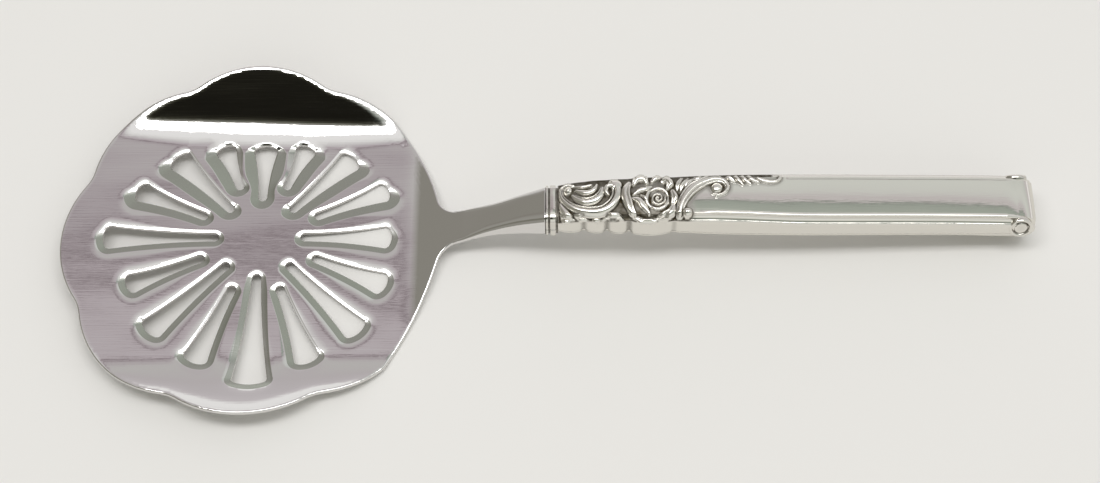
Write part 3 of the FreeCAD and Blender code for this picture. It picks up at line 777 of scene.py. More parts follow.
HANDLE_STATIONS = [
    (2.45, 3.4, 0.9, 4.45, 3.75, 3.7),
    (4.6, 3.5, 0.9, 4.95, 4.35, 3.6),
    (6.5, 3.6, 0.9, 4.85, 4.75, 3.5),
    (7.8, 3.6, 0.9, 4.70, 5.00, 3.4),
    (9.0, 3.7, 0.9, 4.90, 5.15, 3.4),
    (10.4, 3.7, 1.0, 5.20, 5.30, 3.4),
    (11.8, 3.7, 1.0, 5.00, 5.40, 3.3),
    (12.6, 3.7, 1.0, 4.85, 5.45, 3.2),
    (13.6, 3.8, 1.0, 5.10, 5.55, 3.3),
    (14.9, 3.8, 1.0, 5.40, 5.60, 3.4),
    (16.2, 3.8, 1.0, 5.20, 5.65, 3.3),
    (17.0, 3.8, 1.0, 5.10, 5.70, 3.2),
    (18.2, 3.9, 1.1, 5.40, 5.75, 3.3),
    (21.4, 4.0, 1.1, 5.80, 5.85, 3.5),
    (24.4, 4.0, 1.1, 5.45, 5.95, 3.4),
    (26.3, 3.9, 1.1, 5.10, 6.05, 3.2),
    (28.0, 3.9, 1.2, 5.15, 6.15, 3.3),
    (34.0, 4.0, 1.25, 5.45, 6.35, 3.4),
    (52.0, 4.45, 1.25, 5.85, 5.75, 3.9),
    (72.0, 4.45, 1.25, 5.90, 5.35, 4.1),
    (86.0, 4.45, 1.25, 5.95, 5.00, 4.6),
    (92.0, 4.45, 1.25, 6.00, 4.75, 5.6),
    (96.5, 4.40, 1.25, 6.00, 4.30, 6.3),
    (99.2, 4.35, 1.20, 5.90, 3.60, 5.6),
    (100.4, 4.3, 1.1, 5.60, 2.70, 3.8),
]
HANDLE_LENGTH = 100.4
COLLAR_SIZE = (4.55, 3.85)
COLLAR_SQUARE = 4.6
COLLAR_RINGS = [(0.45, 0.05), (0.40, -0.35), (1.15, 0.10), (0.45, -0.35)]
MOUTH_BORE = -0.30
RING_SOFT = 0.08
# Parts of half a section of the upper shell, and columns of the lower one
SIDE_PARTS, COVE_PARTS, TOP_COLUMNS = 12, 9, 75
BACK_COLUMNS = 61
# Rows: from the collar over the carving, along the panel and round the end
ROWS_START, PANEL_START, END_START, ROWS_END = 2.46, 49.5, 92.0, HANDLE_LENGTH - 0.05
CARVED_STEPS = (0.11, 1.1, 0.13)
PLAIN_STEPS = (0.22, 1.6, 0.4)
# The rows that close the end: how far past the last row, and their share of its size
CLOSING_ROWS = ((0.05, 0.97), (0.06, 0.0))


def collar_profile():
    """Give the collar's (distance, step) points, with the rings' edges rounded."""
    points = [(0.0, MOUTH_BORE)]
    at = 0.0
    soft, little = RING_SOFT, RING_SOFT * 0.3
    for width, step in COLLAR_RINGS:
        if step > 0:
            points += [(at, step - soft), (at + little, step - little), (at + soft, step),
                       (at + width - soft, step), (at + width - little, step - little),
                       (at + width, step - soft)]
        else:
            points += [(at, step), (at + width, step)]
        at += width
    return np.array(points)


# Where the furrows between the lobes lie, and how deep they are
LOBE_FURROWS = [(7.8, 0.42), (12.55, 0.45), (17.1, 0.5), (26.3, 0.25)]
FURROW_WIDTH = 0.62


def furrows(s):
    """Give the depth of the furrows between the lobes of the handle's sides."""
    return sum(depth * np.exp(-((s - at) / FURROW_WIDTH) ** 2) for at, depth in LOBE_FURROWS)


def handle_rows(carving, panel, end):
    """Give the distances of the handle's rows, from their steps over each stretch."""
    return np.concatenate([np.arange(ROWS_START, PANEL_START, carving),
                           np.arange(PANEL_START, END_START, panel),
                           np.arange(END_START, ROWS_END, end)])


def smooth_path(points, count):
    """Draw a smooth curve through rows of values, at evenly spaced places along it."""
    points = np.asarray(points, float)
    known = np.concatenate([[0.0], np.cumsum(np.hypot(*np.diff(points[:, :2], axis=0).T))])
    table = np.column_stack([known, points])
    return smooth_table(table, np.linspace(0.0, known[-1], count))


class Relief:
    """A height field over the handle's plan, raised form by form."""

    def __init__(self, s, y):
        self.s, self.y = s, y
        self.height = np.zeros_like(s)

    def lift(self, mask, value):
        self.height[mask] = np.maximum(self.height[mask], value)

    def bar(self, rows, grooves=(), base=0.0, edge=0.5):
        """Raise a bar along rows of (s, y, half width, height), with grooves along it
        at shares of its half width."""
        path = smooth_path(rows, 90)
        reach = path[:, 2].max() + 0.1
        mask = ((self.s > path[:, 0].min() - reach) & (self.s < path[:, 0].max() + reach)
                & (self.y > path[:, 1].min() - reach) & (self.y < path[:, 1].max() + reach))
        s, y = self.s[mask], self.y[mask]
        gap = np.hypot(s[:, None] - path[:, 0], y[:, None] - path[:, 1])
        near = (gap / path[:, 2]).argmin(axis=1)
        tangent = np.gradient(path[:, :2], axis=0)
        tangent /= np.linalg.norm(tangent, axis=1)[:, None]
        side = (tangent[near, 0] * (y - path[near, 1]) - tangent[near, 1] * (s - path[near, 0]))
        u = gap[np.arange(len(near)), near] / path[near, 2]
        q = np.sign(side) * u
        shape = np.clip(1.0 - u ** 2, 0.0, None) ** edge
        for at, depth, wide in grooves:
            shape *= 1.0 - depth * np.exp(-((q - at) / wide) ** 2)
        value = np.where(u < 1.0, base + path[near, 3] * shape, 0.0)
        self.lift(mask, value)

    def boss(self, s0, y0, radius, high, base=0.0, stretch=1.0):
        """Raise a round boss."""
        u = np.hypot((self.s - s0) / stretch, self.y - y0) / radius
        mask = u < 1.0
        self.lift(mask, base + high * np.sqrt(1.0 - u[mask] ** 2))


def tapered(points, half, high, tip=0.12, blunt=1.0):
    """Give a leaf's rows: pointed at both ends and widest in the middle. A blunt below 1
    keeps its width further towards its ends."""
    count = len(points) - 1
    rows = []
    for index, (s, y) in enumerate(points):
        swell = math.sin(math.pi * (index + 0.35) / (count + 0.7)) ** blunt
        rows.append((s, y, max(half * swell, tip), max(high * swell, tip)))
    return rows


# Grooves along a carved form, as its share across, depth and width: down the middle,
# inside both rims, and beside one rim
CLEFT = ((0.0, 0.45, 0.25),)
RIMS = ((-0.58, 0.38, 0.15), (0.58, 0.38, 0.15))
ONE_RIM = ((0.42, 0.6, 0.16),)
ROLLED = ((0.35, 0.35, 0.2),)
ROSE_HEART = (22.95, -0.7)
ROSE_PITCH = 0.74


def round_heart(radius, turn, stretch=1.0):
    return (ROSE_HEART[0] + radius * math.cos(turn),
            ROSE_HEART[1] + stretch * radius * math.sin(turn))


def carve(relief):
    """Raise the scrolls, the leaves and the rose of the handle's shoulder."""
    # First scroll, from its eye by the collar round to its broad curled lobe by the rose
    relief.bar([(5.6, 3.1, 0.35, 0.5), (4.5, 3.25, 0.45, 0.6), (3.3, 2.7, 0.5, 0.7),
                (3.1, 1.2, 0.6, 0.75), (4.3, -0.8, 0.8, 0.85), (6.5, -2.3, 0.95, 0.95),
                (9.2, -3.0, 1.1, 1.0), (11.7, -2.8, 1.2, 1.05), (13.5, -1.5, 1.2, 1.05),
                (14.4, 0.2, 1.1, 1.0), (14.5, 1.8, 1.1, 1.0), (13.7, 3.0, 0.95, 0.9)], ONE_RIM)
    relief.bar([(13.6, 2.6, 0.5, 0.9), (12.7, 2.4, 0.55, 1.0), (12.3, 1.5, 0.6, 1.0),
                (12.7, 0.6, 0.5, 0.9)])
    relief.boss(14.4, 2.6, 1.35, 1.0)
    relief.boss(4.5, 2.05, 0.9, 0.6, base=0.2)
    relief.boss(4.5, 2.05, 0.42, 0.25, base=0.72)
    # The two fat leaves that it holds
    relief.bar([(5.5, 0.9, 0.35, 0.4), (6.6, -0.1, 0.8, 0.7), (8.4, -0.8, 1.05, 0.9),
                (10.2, -0.4, 1.05, 0.95), (11.3, 0.9, 0.8, 0.85), (11.6, 2.2, 0.35, 0.6)], ONE_RIM)
    relief.bar([(6.2, 2.0, 0.3, 0.4), (7.5, 1.4, 0.6, 0.65), (9.1, 1.3, 0.65, 0.8),
                (10.2, 2.2, 0.5, 0.75), (10.5, 3.0, 0.25, 0.5)])
    relief.bar([(5.9, 2.9, 0.2, 0.3), (7.6, 2.7, 0.35, 0.5), (9.3, 3.0, 0.3, 0.45)])
    # Leaves and curls along the near edge
    for points, half, high in (
            ([(2.9, -0.6), (3.5, -2.2), (4.5, -3.5), (5.8, -4.3)], 0.8, 0.8),
            ([(3.0, -3.0), (4.0, -4.2), (5.2, -4.8)], 0.65, 0.7),
            ([(5.9, -3.4), (7.2, -4.0), (8.6, -4.6)], 0.7, 0.7),
            ([(11.2, -4.7), (12.4, -4.2), (13.9, -4.0), (15.3, -4.4), (16.0, -5.0)], 0.65, 0.8),
            ([(12.4, -5.0), (13.8, -4.9), (14.9, -5.2)], 0.45, 0.5)):
        relief.bar(tapered(points, half, high, 0.25))
    relief.boss(10.3, -4.5, 0.95, 0.85)
    # Rose: cushion, outer petals with rolled rims, inner petals and the coiled bud
    relief.boss(21.5, -0.2, 4.4, 0.15, stretch=1.12)
    petals = [
        ([(17.1, 3.0), (16.6, 1.9), (16.4, 0.4), (16.8, -1.3), (17.4, -3.0), (18.2, -4.3)],
         1.05, 1.0),
        ([(18.7, -4.6), (20.5, -5.2), (22.4, -4.9)], 0.7, 0.85),
        ([(23.0, -4.6), (24.5, -4.3), (25.7, -3.5), (26.1, -2.3)], 0.95, 1.0),
        ([(26.1, -1.9), (26.4, -0.5), (26.0, 0.9)], 0.8, 1.0),
        ([(25.0, 1.7), (25.5, 2.6), (24.8, 3.4), (24.0, 3.2)], 0.85, 1.0),
        ([(21.8, 3.3), (22.7, 4.0), (23.8, 4.4)], 0.6, 0.8),
        ([(18.1, 2.8), (18.8, 3.8), (20.1, 3.9), (20.7, 3.0)], 0.85, 1.0),
    ]
    for points, half, high in petals:
        relief.bar(tapered(points, half, high, 0.35, 0.45), ROLLED, base=0.1)
    inner = [
        ([(18.0, 0.4), (19.2, 1.2), (20.6, 1.6), (21.7, 2.1)], 0.6, 0.75),
        ([(17.9, -0.4), (19.1, -1.0), (20.0, -2.4), (21.1, -3.8)], 0.75, 0.8),
        ([(19.4, 0.2), (20.3, -0.5), (20.6, -1.6)], 0.4, 0.8),
    ]
    for points, half, high in inner:
        relief.bar(tapered(points, half, high, 0.2, 0.6), base=0.15)
    for first, last, out in ((0.3, 2.3, 2.15), (2.1, 4.0, 2.3), (3.8, 6.4, 2.1)):
        ring = [round_heart(out, turn, 1.08) for turn in np.linspace(first, last, 6)]
        relief.bar(tapered(ring, 0.42, 0.55, 0.15, 0.5), base=0.2)
    coil = [(*round_heart(r, 2 * math.pi * r / ROSE_PITCH), 0.25, 0.75 - 0.2 * r)
            for r in np.linspace(0.1, 1.5, 30)]
    relief.bar(coil, base=0.25)
    # Second scroll: from the bead up and over to its curl round a full eye, with its drop
    relief.bar([(27.3, -4.2, 0.8, 0.8), (27.6, -2.4, 0.95, 0.95), (28.7, -0.1, 1.15, 1.05),
                (30.4, 1.8, 1.25, 1.05), (32.6, 3.0, 1.05, 0.95), (34.9, 3.55, 0.75, 0.85),
                (36.7, 3.0, 0.6, 0.75), (37.2, 1.7, 0.5, 0.65), (36.6, 0.5, 0.42, 0.55),
                (35.4, 0.0, 0.35, 0.45), (34.2, 0.3, 0.25, 0.3)], RIMS)
    relief.boss(35.05, 1.6, 1.2, 0.75)
    relief.boss(34.9, -0.45, 0.25, 0.25)
    relief.boss(28.9, -3.8, 1.05, 0.95)
    # Leaves between the rose and the second scroll, and along the far edge
    for points, half, high in (
            ([(26.9, 1.2), (27.1, 2.6), (28.2, 4.2)], 0.5, 0.6),
            ([(27.6, 1.0), (28.1, 2.4), (29.3, 3.9)], 0.5, 0.65),
            ([(28.6, 1.6), (29.2, 2.8), (30.6, 3.9)], 0.45, 0.6),
            ([(30.3, 3.6), (31.4, 4.1), (33.2, 4.4)], 0.5, 0.55),
            ([(36.8, 4.1), (37.9, 3.7), (38.8, 3.0)], 0.5, 0.55)):
        relief.bar(tapered(points, half, high), CLEFT)
    # The fanned leaf by the far edge, fold by fold, and the curl that it ends in
    for points in ([(38.7, 4.4), (39.5, 3.5), (40.4, 2.4)],
                   [(40.0, 4.5), (40.9, 3.5), (42.0, 2.6)],
                   [(41.3, 4.5), (42.3, 3.6), (43.7, 3.0)]):
        relief.bar(tapered(points, 0.5, 0.6, 0.2, 0.6))
    relief.bar([(43.6, 3.9, 0.35, 0.4), (45.0, 3.35, 0.5, 0.5), (46.4, 3.15, 0.45, 0.5),
                (47.6, 3.4, 0.38, 0.5), (48.2, 4.1, 0.34, 0.45), (47.7, 4.7, 0.3, 0.4),
                (47.0, 4.6, 0.25, 0.35)])


# Edge of the carving's ground, as places across with distances from the mouth
GROUND_EDGE = [(-4.6, 27.4), (-2.3, 27.6), (-0.1, 28.6), (1.8, 30.3), (3.0, 32.4), (3.6, 36.5),
               (4.6, 47.0)]
# Where the ground starts, the lengths over which it fades in and out, the height at which
# a form starts to rise out of its dark with the height that this takes, and its darkness
GROUND_START, GROUND_BLEND, GROUND_FADE = 2.4, 0.25, 0.5
GROUND_HEIGHTS = (0.06, 0.3)
GROUND_DARK = 0.92
# Shade in low places beside high ones: rows and columns looked over, how strongly,
# what is taken off and the most that it reaches
SHADES = ((5, 4, 4.5, 0.0, 1.0), (11, 9, 2.6, 0.1, 0.9))
# Darkness of the collar's grooves and of its rings, and painted shade in the furrows: how
#  much for each millimetre of depth, what is taken off and the most that it reaches
GROOVE_DARK, RING_DARK = 0.75, 0.05
FURROW_DARK, FURROW_LESS, FURROW_MOST = 1.7, 0.12, 0.6
# Height above the seam below which a furrow leaves the side's height alone
FURROW_FOOT = 0.3
# Depth below the cove over which the carving fades out and the furrows fade in
FADE = 0.8
# Height from which a carved form counts as fully stamped
STAMPED_HEIGHT = 0.15
# Raised lines along the top's edges: how far in, their half width, their height on the
# near and on the far side, where they start and end, and where they bend out round the
# volutes, each with the length that it takes, and how far out they bend
LINE_INSET, LINE_HALF = 0.22, 0.3
LINE_HEIGHTS = (0.2, 0.03)
LINE_START = (31.5, 3.0)
LINE_END = (99.0, 1.0)
LINE_BEND, LINE_OUT = (93.0, 6.5), 1.05
# The far line gives way to the leaf, outside this place across
LEAF_SIDE = 3.4


def top_sections(settings, table):
    """Give the upper shell's bare sections: side, cove and crowned top, and back down."""
    flat, cove, side, high = table[:, :4].T
    sag = mm(settings.cove_sag)
    swell = mm(settings.side_swell)
    edge, low = flat + cove, high - cove
    half_y, half_z = [], []
    for i in range(SIDE_PARTS):
        t = i / SIDE_PARTS
        half_y.append(side + (edge - side) * t + 4 * swell * t * (1 - t))
        half_z.append(low * t)
    for i in range(COVE_PARTS):
        t = i / COVE_PARTS
        dip = 4 * sag * t * (1 - t)
        half_y.append(edge - cove * t - dip)
        half_z.append(low + cove * t - dip)
    y_half, z_half = np.array(half_y).T, np.array(half_z).T
    across = np.linspace(-1.0, 1.0, TOP_COLUMNS)
    y_top = flat[:, None] * across
    z_top = high[:, None] + mm(settings.crown) * (1 - across ** 2)
    return np.hstack([-y_half, y_top, y_half[:, ::-1]]), np.hstack([z_half, z_top, z_half[:, ::-1]])


def edge_lines(s, y, flat):
    """Give the height of the raised lines along the two edges of the top."""
    middle = flat[:, None] - LINE_INSET + LINE_OUT * blend(s, *LINE_BEND) ** 2
    shape = np.clip(1 - ((np.abs(y) - middle) / LINE_HALF) ** 2, 0.0, None) ** 0.5
    line = np.where(y < 0, *LINE_HEIGHTS) * shape * (blend(s, *LINE_START)
                                                     * (1.0 - blend(s, *LINE_END)))
    return np.where((y > LEAF_SIDE) & (s < PANEL_START), 0.0, line)


def darkening(s, y, below, raised, furrow):
    """Give how dark the silver is painted: tarnish on the ground of the carving, and painted
    shade in low places beside high ones and in the furrows. Below is how far a place lies
    under its cove."""
    ground = np.interp(y, *np.transpose(GROUND_EDGE))
    inside = blend(ground - s, 0.0, GROUND_FADE) * blend(s, GROUND_START, GROUND_BLEND)
    dark = inside * (1.0 - blend(raised, *GROUND_HEIGHTS)) * GROUND_DARK
    for rows, columns, strength, less, most in SHADES:
        shade = (box_blur(raised, rows, columns) - raised) * strength - less
        dark = np.maximum(dark, np.clip(shade, 0.0, most))
    dark *= 1.0 - blend(below, 0.0, FADE / 2)
    # Painted shade in the furrows between the lobes
    return np.maximum(dark, np.clip(furrow * FURROW_DARK - FURROW_LESS, 0.0, FURROW_MOST))


def with_ends(s, y, z, turn, upward, dark, stamped):
    """Put the collar's rings before a shell's rows, and draw its last row in to close
    it. Gives the three places with how much tarnish and painted shade and how much stamping
    each point has."""
    collar = collar_profile()
    step = collar[:, 1:]
    across, up = squared(turn, COLLAR_SQUARE)
    ring_s = np.repeat(collar[:, :1], len(turn), axis=1)
    ring_dark = np.repeat(np.where(step < 0, GROOVE_DARK, RING_DARK), len(turn), axis=1)
    return (np.vstack([ring_s, s, *(s[-1:] + past for past, _ in CLOSING_ROWS)]),
            np.vstack([(COLLAR_SIZE[0] + step) * across, y,
                       *(y[-1:] * share for _, share in CLOSING_ROWS)]),
            np.vstack([upward * (COLLAR_SIZE[1] + step) * up, z,
                       *(z[-1:] * share for _, share in CLOSING_ROWS)]),
            np.vstack([ring_dark, dark, dark[-2:] * 0]),
            np.vstack([ring_dark * 0, stamped, stamped[-2:] * 0]))


def front_skin(settings):
    """Lay out the upper shell: collar, carved shoulder, plain panel, coves and end."""
    body = handle_rows(*CARVED_STEPS)
    table = smooth_table(HANDLE_STATIONS, body)
    y, z = top_sections(settings, table)
    s = np.repeat(body[:, None], y.shape[1], axis=1)
    relief = Relief(s, y)
    carve(relief)
    raised = relief.height * settings.carving_height
    height = np.maximum(raised, edge_lines(s, y, table[:, 0]))
    below = (table[:, 3] - table[:, 1])[:, None] - z
    height = height * (1.0 - blend(below, 0.0, FADE))
    furrow = furrows(s) * blend(below, 0.0, FADE)
    tangent_y = np.gradient(y, axis=1)
    tangent_z = np.gradient(z, axis=1)
    size = np.hypot(tangent_y, tangent_z)
    y_out = y - tangent_z / size * (height - furrow)
    z_out = z + tangent_y / size * (height - furrow * (z > FURROW_FOOT))
    return with_ends(s, y_out, z_out, np.linspace(math.pi, 0.0, y.shape[1]), 1,
                     darkening(s, y, below, raised, furrow),
                     blend(raised, 0.0, STAMPED_HEIGHT))


def box_blur(values, down, across):
    """Average a grid over so many neighbours each way."""
    for axis, reach in ((0, down), (1, across)):
        padded = np.concatenate([np.repeat(values.take([0], axis), reach + 1, axis), values,
                                 np.repeat(values.take([-1], axis), reach, axis)], axis)
        total = np.cumsum(padded, axis)
        size = values.shape[axis]
        values = (total.take(range(2 * reach + 1, 2 * reach + 1 + size), axis)
                  - total.take(range(size), axis)) / (2 * reach + 1)
    return values


def back_skin():
    """Lay out the lower shell: its half of the collar and a smooth deep round."""
    body = handle_rows(*PLAIN_STEPS)
    table = smooth_table(HANDLE_STATIONS, body)
    side, down = table[:, 2:3], table[:, 4:5]
    turn = np.linspace(0.0, math.pi, BACK_COLUMNS)
    s = np.repeat(body[:, None], BACK_COLUMNS, axis=1)
    y = (side - furrows(s) * np.abs(np.cos(turn))) * np.cos(turn)
    z = -down * np.sin(turn)
    return with_ends(s, y, z, turn, -1, s * 0.0, s * 0.0)


# Distance, place across and height of the volutes' middle, and their tilt in degrees
VOLUTE = (97.2, 5.6, 2.2)
VOLUTE_TILT = 70.0
# Radius, height and darkness of the button, its groove and the ring round it
VOLUTE_PROFILE = [(0.0, 0.42, 0.1), (0.7, 0.44, 0.05), (1.05, 0.50, 0.0), (1.25, 0.46, 0.0),
                  (1.36, 0.22, 0.6), (1.46, 0.10, 0.9), (1.60, 0.10, 0.9), (1.72, 0.30, 0.4),
                  (1.85, 0.50, 0.0), (2.05, 0.58, 0.0), (2.25, 0.50, 0.0), (2.37, 0.34, 0.0),
                  (2.4, 0.1, 0.3), (2.4, -1.5, 0.0), (0.0, -1.5, 0.0)]


def add_volutes(bm):
    """Raise a ring round a button on each of the two sides at the handle's end."""
    radius, high, darkness = np.array(VOLUTE_PROFILE).T
    tilt = math.radians(VOLUTE_TILT)
    for side in (1, -1):
        def place(row, column):
            turn = 2 * math.pi * column / (ROUND_COLUMNS - 1)
            x, y = radius[row] * np.cos(turn), radius[row] * np.sin(turn)
            return np.column_stack([
                VOLUTE[0] + x,
                side * (VOLUTE[1] + y * math.cos(tilt) + high[row] * math.sin(tilt)),
                VOLUTE[2] - y * math.sin(tilt) + high[row] * math.cos(tilt)])

        button, row, _ = grid_skin(len(radius), ROUND_COLUMNS, place)
        layer = button.verts.layers.float.new("tarnish_and_shade")
        for vert, share in zip(button.verts, darkness[row]):
            vert[layer] = share
        bmesh.ops.remove_doubles(button, verts=button.verts, dist=1e-4)
        join(bm, button)


def shell(name, skin, node):
    """Build one shell of the handle from its laid-out skin."""
    s, y, z, tarnish_and_shade, stamped = skin
    rows, columns = s.shape

    def place(row, column):
        return np.column_stack([s[row, column], y[row, column], z[row, column]])

    bm, row, column = grid_skin(rows, columns, place)
    for finish, values in (("tarnish_and_shade", tarnish_and_shade), ("stamped", stamped)):
        layer = bm.verts.layers.float.new(finish)
        for vert, value in zip(bm.verts, values[row, column]):
            vert[layer] = value
    bmesh.ops.remove_doubles(bm, verts=bm.verts, dist=1e-5)
    edges = [edge for edge in bm.edges if edge.is_boundary]
    bmesh.ops.holes_fill(bm, edges=edges, sides=0)
    if node == "handle_front":
        add_volutes(bm)
    piece = new_piece(name, bm, bpy.data.materials["polished_silver"], handle_matrix())
    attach(piece, "root")
    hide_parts(node)


class SERVER_OT_finishes(bpy.types.Operator):
    """Make the steel, silver and cement, and give the filler its finish"""
    bl_idname = "server.finishes"
    bl_label = "Finishes"

    def execute(self, context):
        polished_stainless_steel()
        polished_silver()
        filler = frame["nodes"]["handle_cement"]
        filler.data.materials.clear()
        filler.data.materials.append(hard_cement())
        return {"FINISHED"}


class SERVER_OT_blade(bpy.types.Operator):
    """Press, fold and forge the pierced blade with its shank and tang"""
    bl_idname = "server.blade"
    bl_label = "Blade"

    def execute(self, context):
        settings = context.scene.server_blade
        bm = blade_bmesh(settings)
        fold_blade(bm, settings)
        add_shank(bm)
        piece = new_piece("blade_and_shank", bm, bpy.data.materials["polished_stainless_steel"],
                          row_matrix())
        even_normals(piece)
        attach(piece, "root")
        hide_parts("server_blade")
        return {"FINISHED"}


class SERVER_OT_handle(bpy.types.Operator):
    """Stamp the two shells of the hollow handle"""
    bl_idname = "server.handle"
    bl_label = "Handle"

    def execute(self, context):
        settings = context.scene.server_handle
        shell("carved_front", front_skin(settings), "handle_front")
        shell("plain_back", back_skin(), "handle_back")
        return {"FINISHED"}


# Colours of the room by angle: in degrees from the far horizon, over the ceiling at 90,
# to the viewer's horizon at 180
SKY = [
    (0.0, "#E4E3E3"), (14.0, "#FFFFFF"), (19.0, "#FFFFFF"), (23.0, "#D9D4D7"), (30.0, "#CFCACD"),
    (45.0, "#C9C4C6"), (56.0, "#CBC9C8"), (59.0, "#CBC8C8"), (61.5, "#C0B9BC"), (63.2, "#B8B0B4"),
    (64.1, "#AFA5AA"), (64.35, "#7C7074"), (64.7, "#7C7074"), (65.1, "#BFB5BA"),
    (68.0, "#CBC4C8"), (70.5, "#DAD7D8"), (75.0, "#F4F4F3"), (79.0, "#FFFFFF"),
    (99.0, "#FFFFFF"), (102.0, "#8A8B80"), (105.0, "#39382E"), (109.0, "#1C1B16"),
    (122.0, "#12110E"), (130.0, "#D8DAD2"), (150.0, "#F4F5F2"), (180.0, "#D0D0CC"),
]
# Over the handle the wall is a greyer green and the viewer's side is light, so these
# stretches of the room have colours of their own
OTHER_STRETCHES = ((40.0, 76.0), (101.0, 125.0))
SKY_BESIDE = sorted([stop for stop in SKY if not any(low < stop[0] < high
                                                     for low, high in OTHER_STRETCHES)] + [
    (45.0, "#D2D5D2"), (56.0, "#DCDFDC"), (60.0, "#D9DBD9"), (62.5, "#CFCACD"), (63.9, "#C8C1C4"),
    (64.1, "#FFFFFF"), (64.6, "#FFFFFF"), (64.7, "#666A65"), (65.2, "#666A65"), (65.4, "#A7AFA8"),
    (69.5, "#B2B9B2"), (72.0, "#EEF0ED"), (104.0, "#C2C6C0"), (109.0, "#8F968E"),
    (120.0, "#8F968E")])
# Where the wall over the handle takes over, along the server, and where the dim end wall
# fades out
BESIDE_LIMITS = {"From Min": 0.0, "From Max": 0.05}
END_WALL_LIMITS = {"From Min": -0.6, "From Max": -0.4, "To Min": 0.86, "To Max": 0.0}
END_WALL = "#8C8A80"
# Stage, in metres: half the floor's side, and the softbox's size, place and power
FLOOR_HALF = 3.0
SOFTBOX_SIZE = (0.9, 0.18)
SOFTBOX_PLACE = (0.0, -0.02, 0.8)
SOFTBOX_WATTS = 3.2
# The point that the camera looks at, in the server's frame, and its sensor's width in mm
AIM = (62.0, -0.68, 0.0)
SENSOR_WIDTH = 36.0


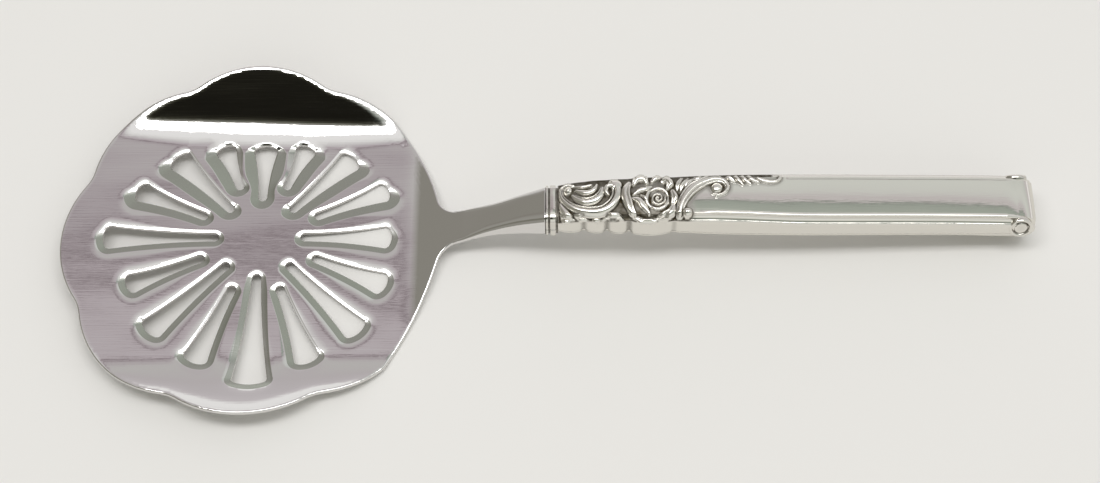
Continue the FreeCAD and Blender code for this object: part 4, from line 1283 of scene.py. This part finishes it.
class SERVER_OT_stage(bpy.types.Operator):
    """Lay the plain floor, hang the soft lights and place the camera"""
    bl_idname = "server.stage"
    bl_label = "Stage"

    def execute(self, context):
        settings = context.scene.server_stage
        scene = context.scene
        self.floor(scene, settings)
        self.sky(scene)
        self.lamps(scene)
        self.camera(scene, settings)
        scene.view_settings.view_transform = "Standard"
        return {"FINISHED"}

    def floor(self, scene, settings):
        """Lay a plain square floor under the server."""
        bm = bmesh.new()
        bmesh.ops.create_grid(bm, x_segments=1, y_segments=1, size=FLOOR_HALF)
        mesh = bpy.data.meshes.new("floor")
        bm.to_mesh(mesh)
        bm.free()
        # Matt painted board: even and pale, with no gloss
        material, tree = new_material("matt_board")
        shader = add(tree, "ShaderNodeBsdfPrincipled", Roughness=0.9,
                     **{"Base Color": opaque(settings.floor), "Specular IOR Level": 0.1})
        finish_material(tree, shader)
        mesh.materials.append(material)
        floor = bpy.data.objects.new("floor", mesh)
        scene.collection.objects.link(floor)

    def sky(self, scene):
        """Light the room by height round the server: a white ceiling, a grey wall
        behind and the dark side where the viewer stands."""
        world = bpy.data.worlds.new("studio")
        scene.world = world
        world.use_nodes = True
        tree = world.node_tree
        tree.nodes.clear()
        way = add(tree, "ShaderNodeTexCoord")
        parts = add(tree, "ShaderNodeSeparateXYZ", {"Vector": (way, "Generated")})
        rise = add(tree, "ShaderNodeMath", {0: (parts, "Z"), 1: (parts, "Y")},
                   operation="ARCTAN2")
        share = add(tree, "ShaderNodeMath", {0: (rise, "Value")}, operation="DIVIDE",
                    use_clamp=True)
        share.inputs[1].default_value = math.pi
        over_blade, over_handle = [self.ramp(tree, share, sky) for sky in (SKY, SKY_BESIDE)]
        beside = add(tree, "ShaderNodeMapRange", {"Value": (parts, "X")}, **BESIDE_LIMITS)
        ramp = add(tree, "ShaderNodeMix", {"Factor": (beside, "Result"), "A": (over_blade, "Color"),
                                           "B": (over_handle, "Color")}, data_type="RGBA")
        # A dim wall at the blade's end, which the slope up to the handle mirrors
        end = add(tree, "ShaderNodeMapRange", {"Value": (parts, "X")}, **END_WALL_LIMITS)
        room = add(tree, "ShaderNodeMix", {"Factor": (end, "Result"), "A": (ramp, "Result")},
                   data_type="RGBA", B=opaque(linear(END_WALL)))
        glow = add(tree, "ShaderNodeBackground", {"Color": (room, "Result")}, Strength=1.0)
        add(tree, "ShaderNodeOutputWorld", {"Surface": (glow, "Background")})

    def ramp(self, tree, share, sky):
        """Add a colour ramp that holds one side's colours, from 0 to 180 degrees."""
        ramp = add(tree, "ShaderNodeValToRGB", {"Fac": (share, "Value")})
        stops = ramp.color_ramp.elements
        while len(stops) > 1:
            stops.remove(stops[-1])
        for index, (degrees, hex_colour) in enumerate(sky):
            stop = stops[0] if index == 0 else stops.new(degrees / 180.0)
            stop.position = degrees / 180.0
            stop.color = opaque(linear(hex_colour))
        return ramp

    def lamps(self, scene):
        """Hang one long softbox over the server."""
        lamp = bpy.data.lights.new("softbox", "AREA")
        lamp.shape = "RECTANGLE"
        lamp.size, lamp.size_y = SOFTBOX_SIZE
        lamp.energy = SOFTBOX_WATTS
        softbox = bpy.data.objects.new("softbox", lamp)
        softbox.location = SOFTBOX_PLACE
        scene.collection.objects.link(softbox)

    def camera(self, scene, settings):
        """Place the camera at the photograph's angle, in the server's own frame."""
        data = bpy.data.cameras.new("camera")
        data.lens = settings.lens
        data.sensor_width = SENSOR_WIDTH
        data.clip_start = 0.01
        camera = bpy.data.objects.new("camera", data)
        place = row_matrix()
        target = Vector(AIM)
        away = Vector((0.0, -math.cos(settings.camera_height), math.sin(settings.camera_height)))
        spot = target + away * mm(settings.camera_distance)
        right = Vector((1.0, 0.0, 0.0))
        turn = place.to_3x3().normalized()
        axes = Matrix((right, away.cross(right), away)).transposed()
        camera.matrix_world = Matrix.Translation(place @ spot) @ (turn @ axes).to_4x4()
        scene.collection.objects.link(camera)
        scene.camera = camera


class SERVER_PT_panel(bpy.types.Panel):
    """Sizes, colours and steps of the tomato server"""
    bl_idname = "SERVER_PT_panel"
    bl_label = "Tomato server"
    bl_space_type = "VIEW_3D"
    bl_region_type = "UI"
    bl_category = "Server"

    def draw(self, context):
        for group in ("server_blade", "server_handle", "server_stage"):
            box = self.layout.box()
            settings = getattr(context.scene, group)
            for name in settings.bl_rna.properties.keys():
                if name not in ("rna_type", "name"):
                    box.prop(settings, name)
        for step in STEPS:
            self.layout.operator(step.bl_idname)


STEPS = (SERVER_OT_finishes, SERVER_OT_blade, SERVER_OT_handle, SERVER_OT_stage)
CLASSES = (ServerBladeSettings, HandleSettings, StageSettings, *STEPS, SERVER_PT_panel)


def register():
    for item in CLASSES:
        bpy.utils.register_class(item)
    bpy.types.Scene.server_blade = PointerProperty(type=ServerBladeSettings)
    bpy.types.Scene.server_handle = PointerProperty(type=HandleSettings)
    bpy.types.Scene.server_stage = PointerProperty(type=StageSettings)


def unregister():
    del bpy.types.Scene.server_stage
    del bpy.types.Scene.server_handle
    del bpy.types.Scene.server_blade
    for item in reversed(CLASSES):
        bpy.utils.unregister_class(item)


def main():
    register()
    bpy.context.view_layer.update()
    bpy.ops.server.finishes()
    bpy.ops.server.blade()
    bpy.ops.server.handle()
    bpy.ops.server.stage()


if __name__ == "__main__":
    main()
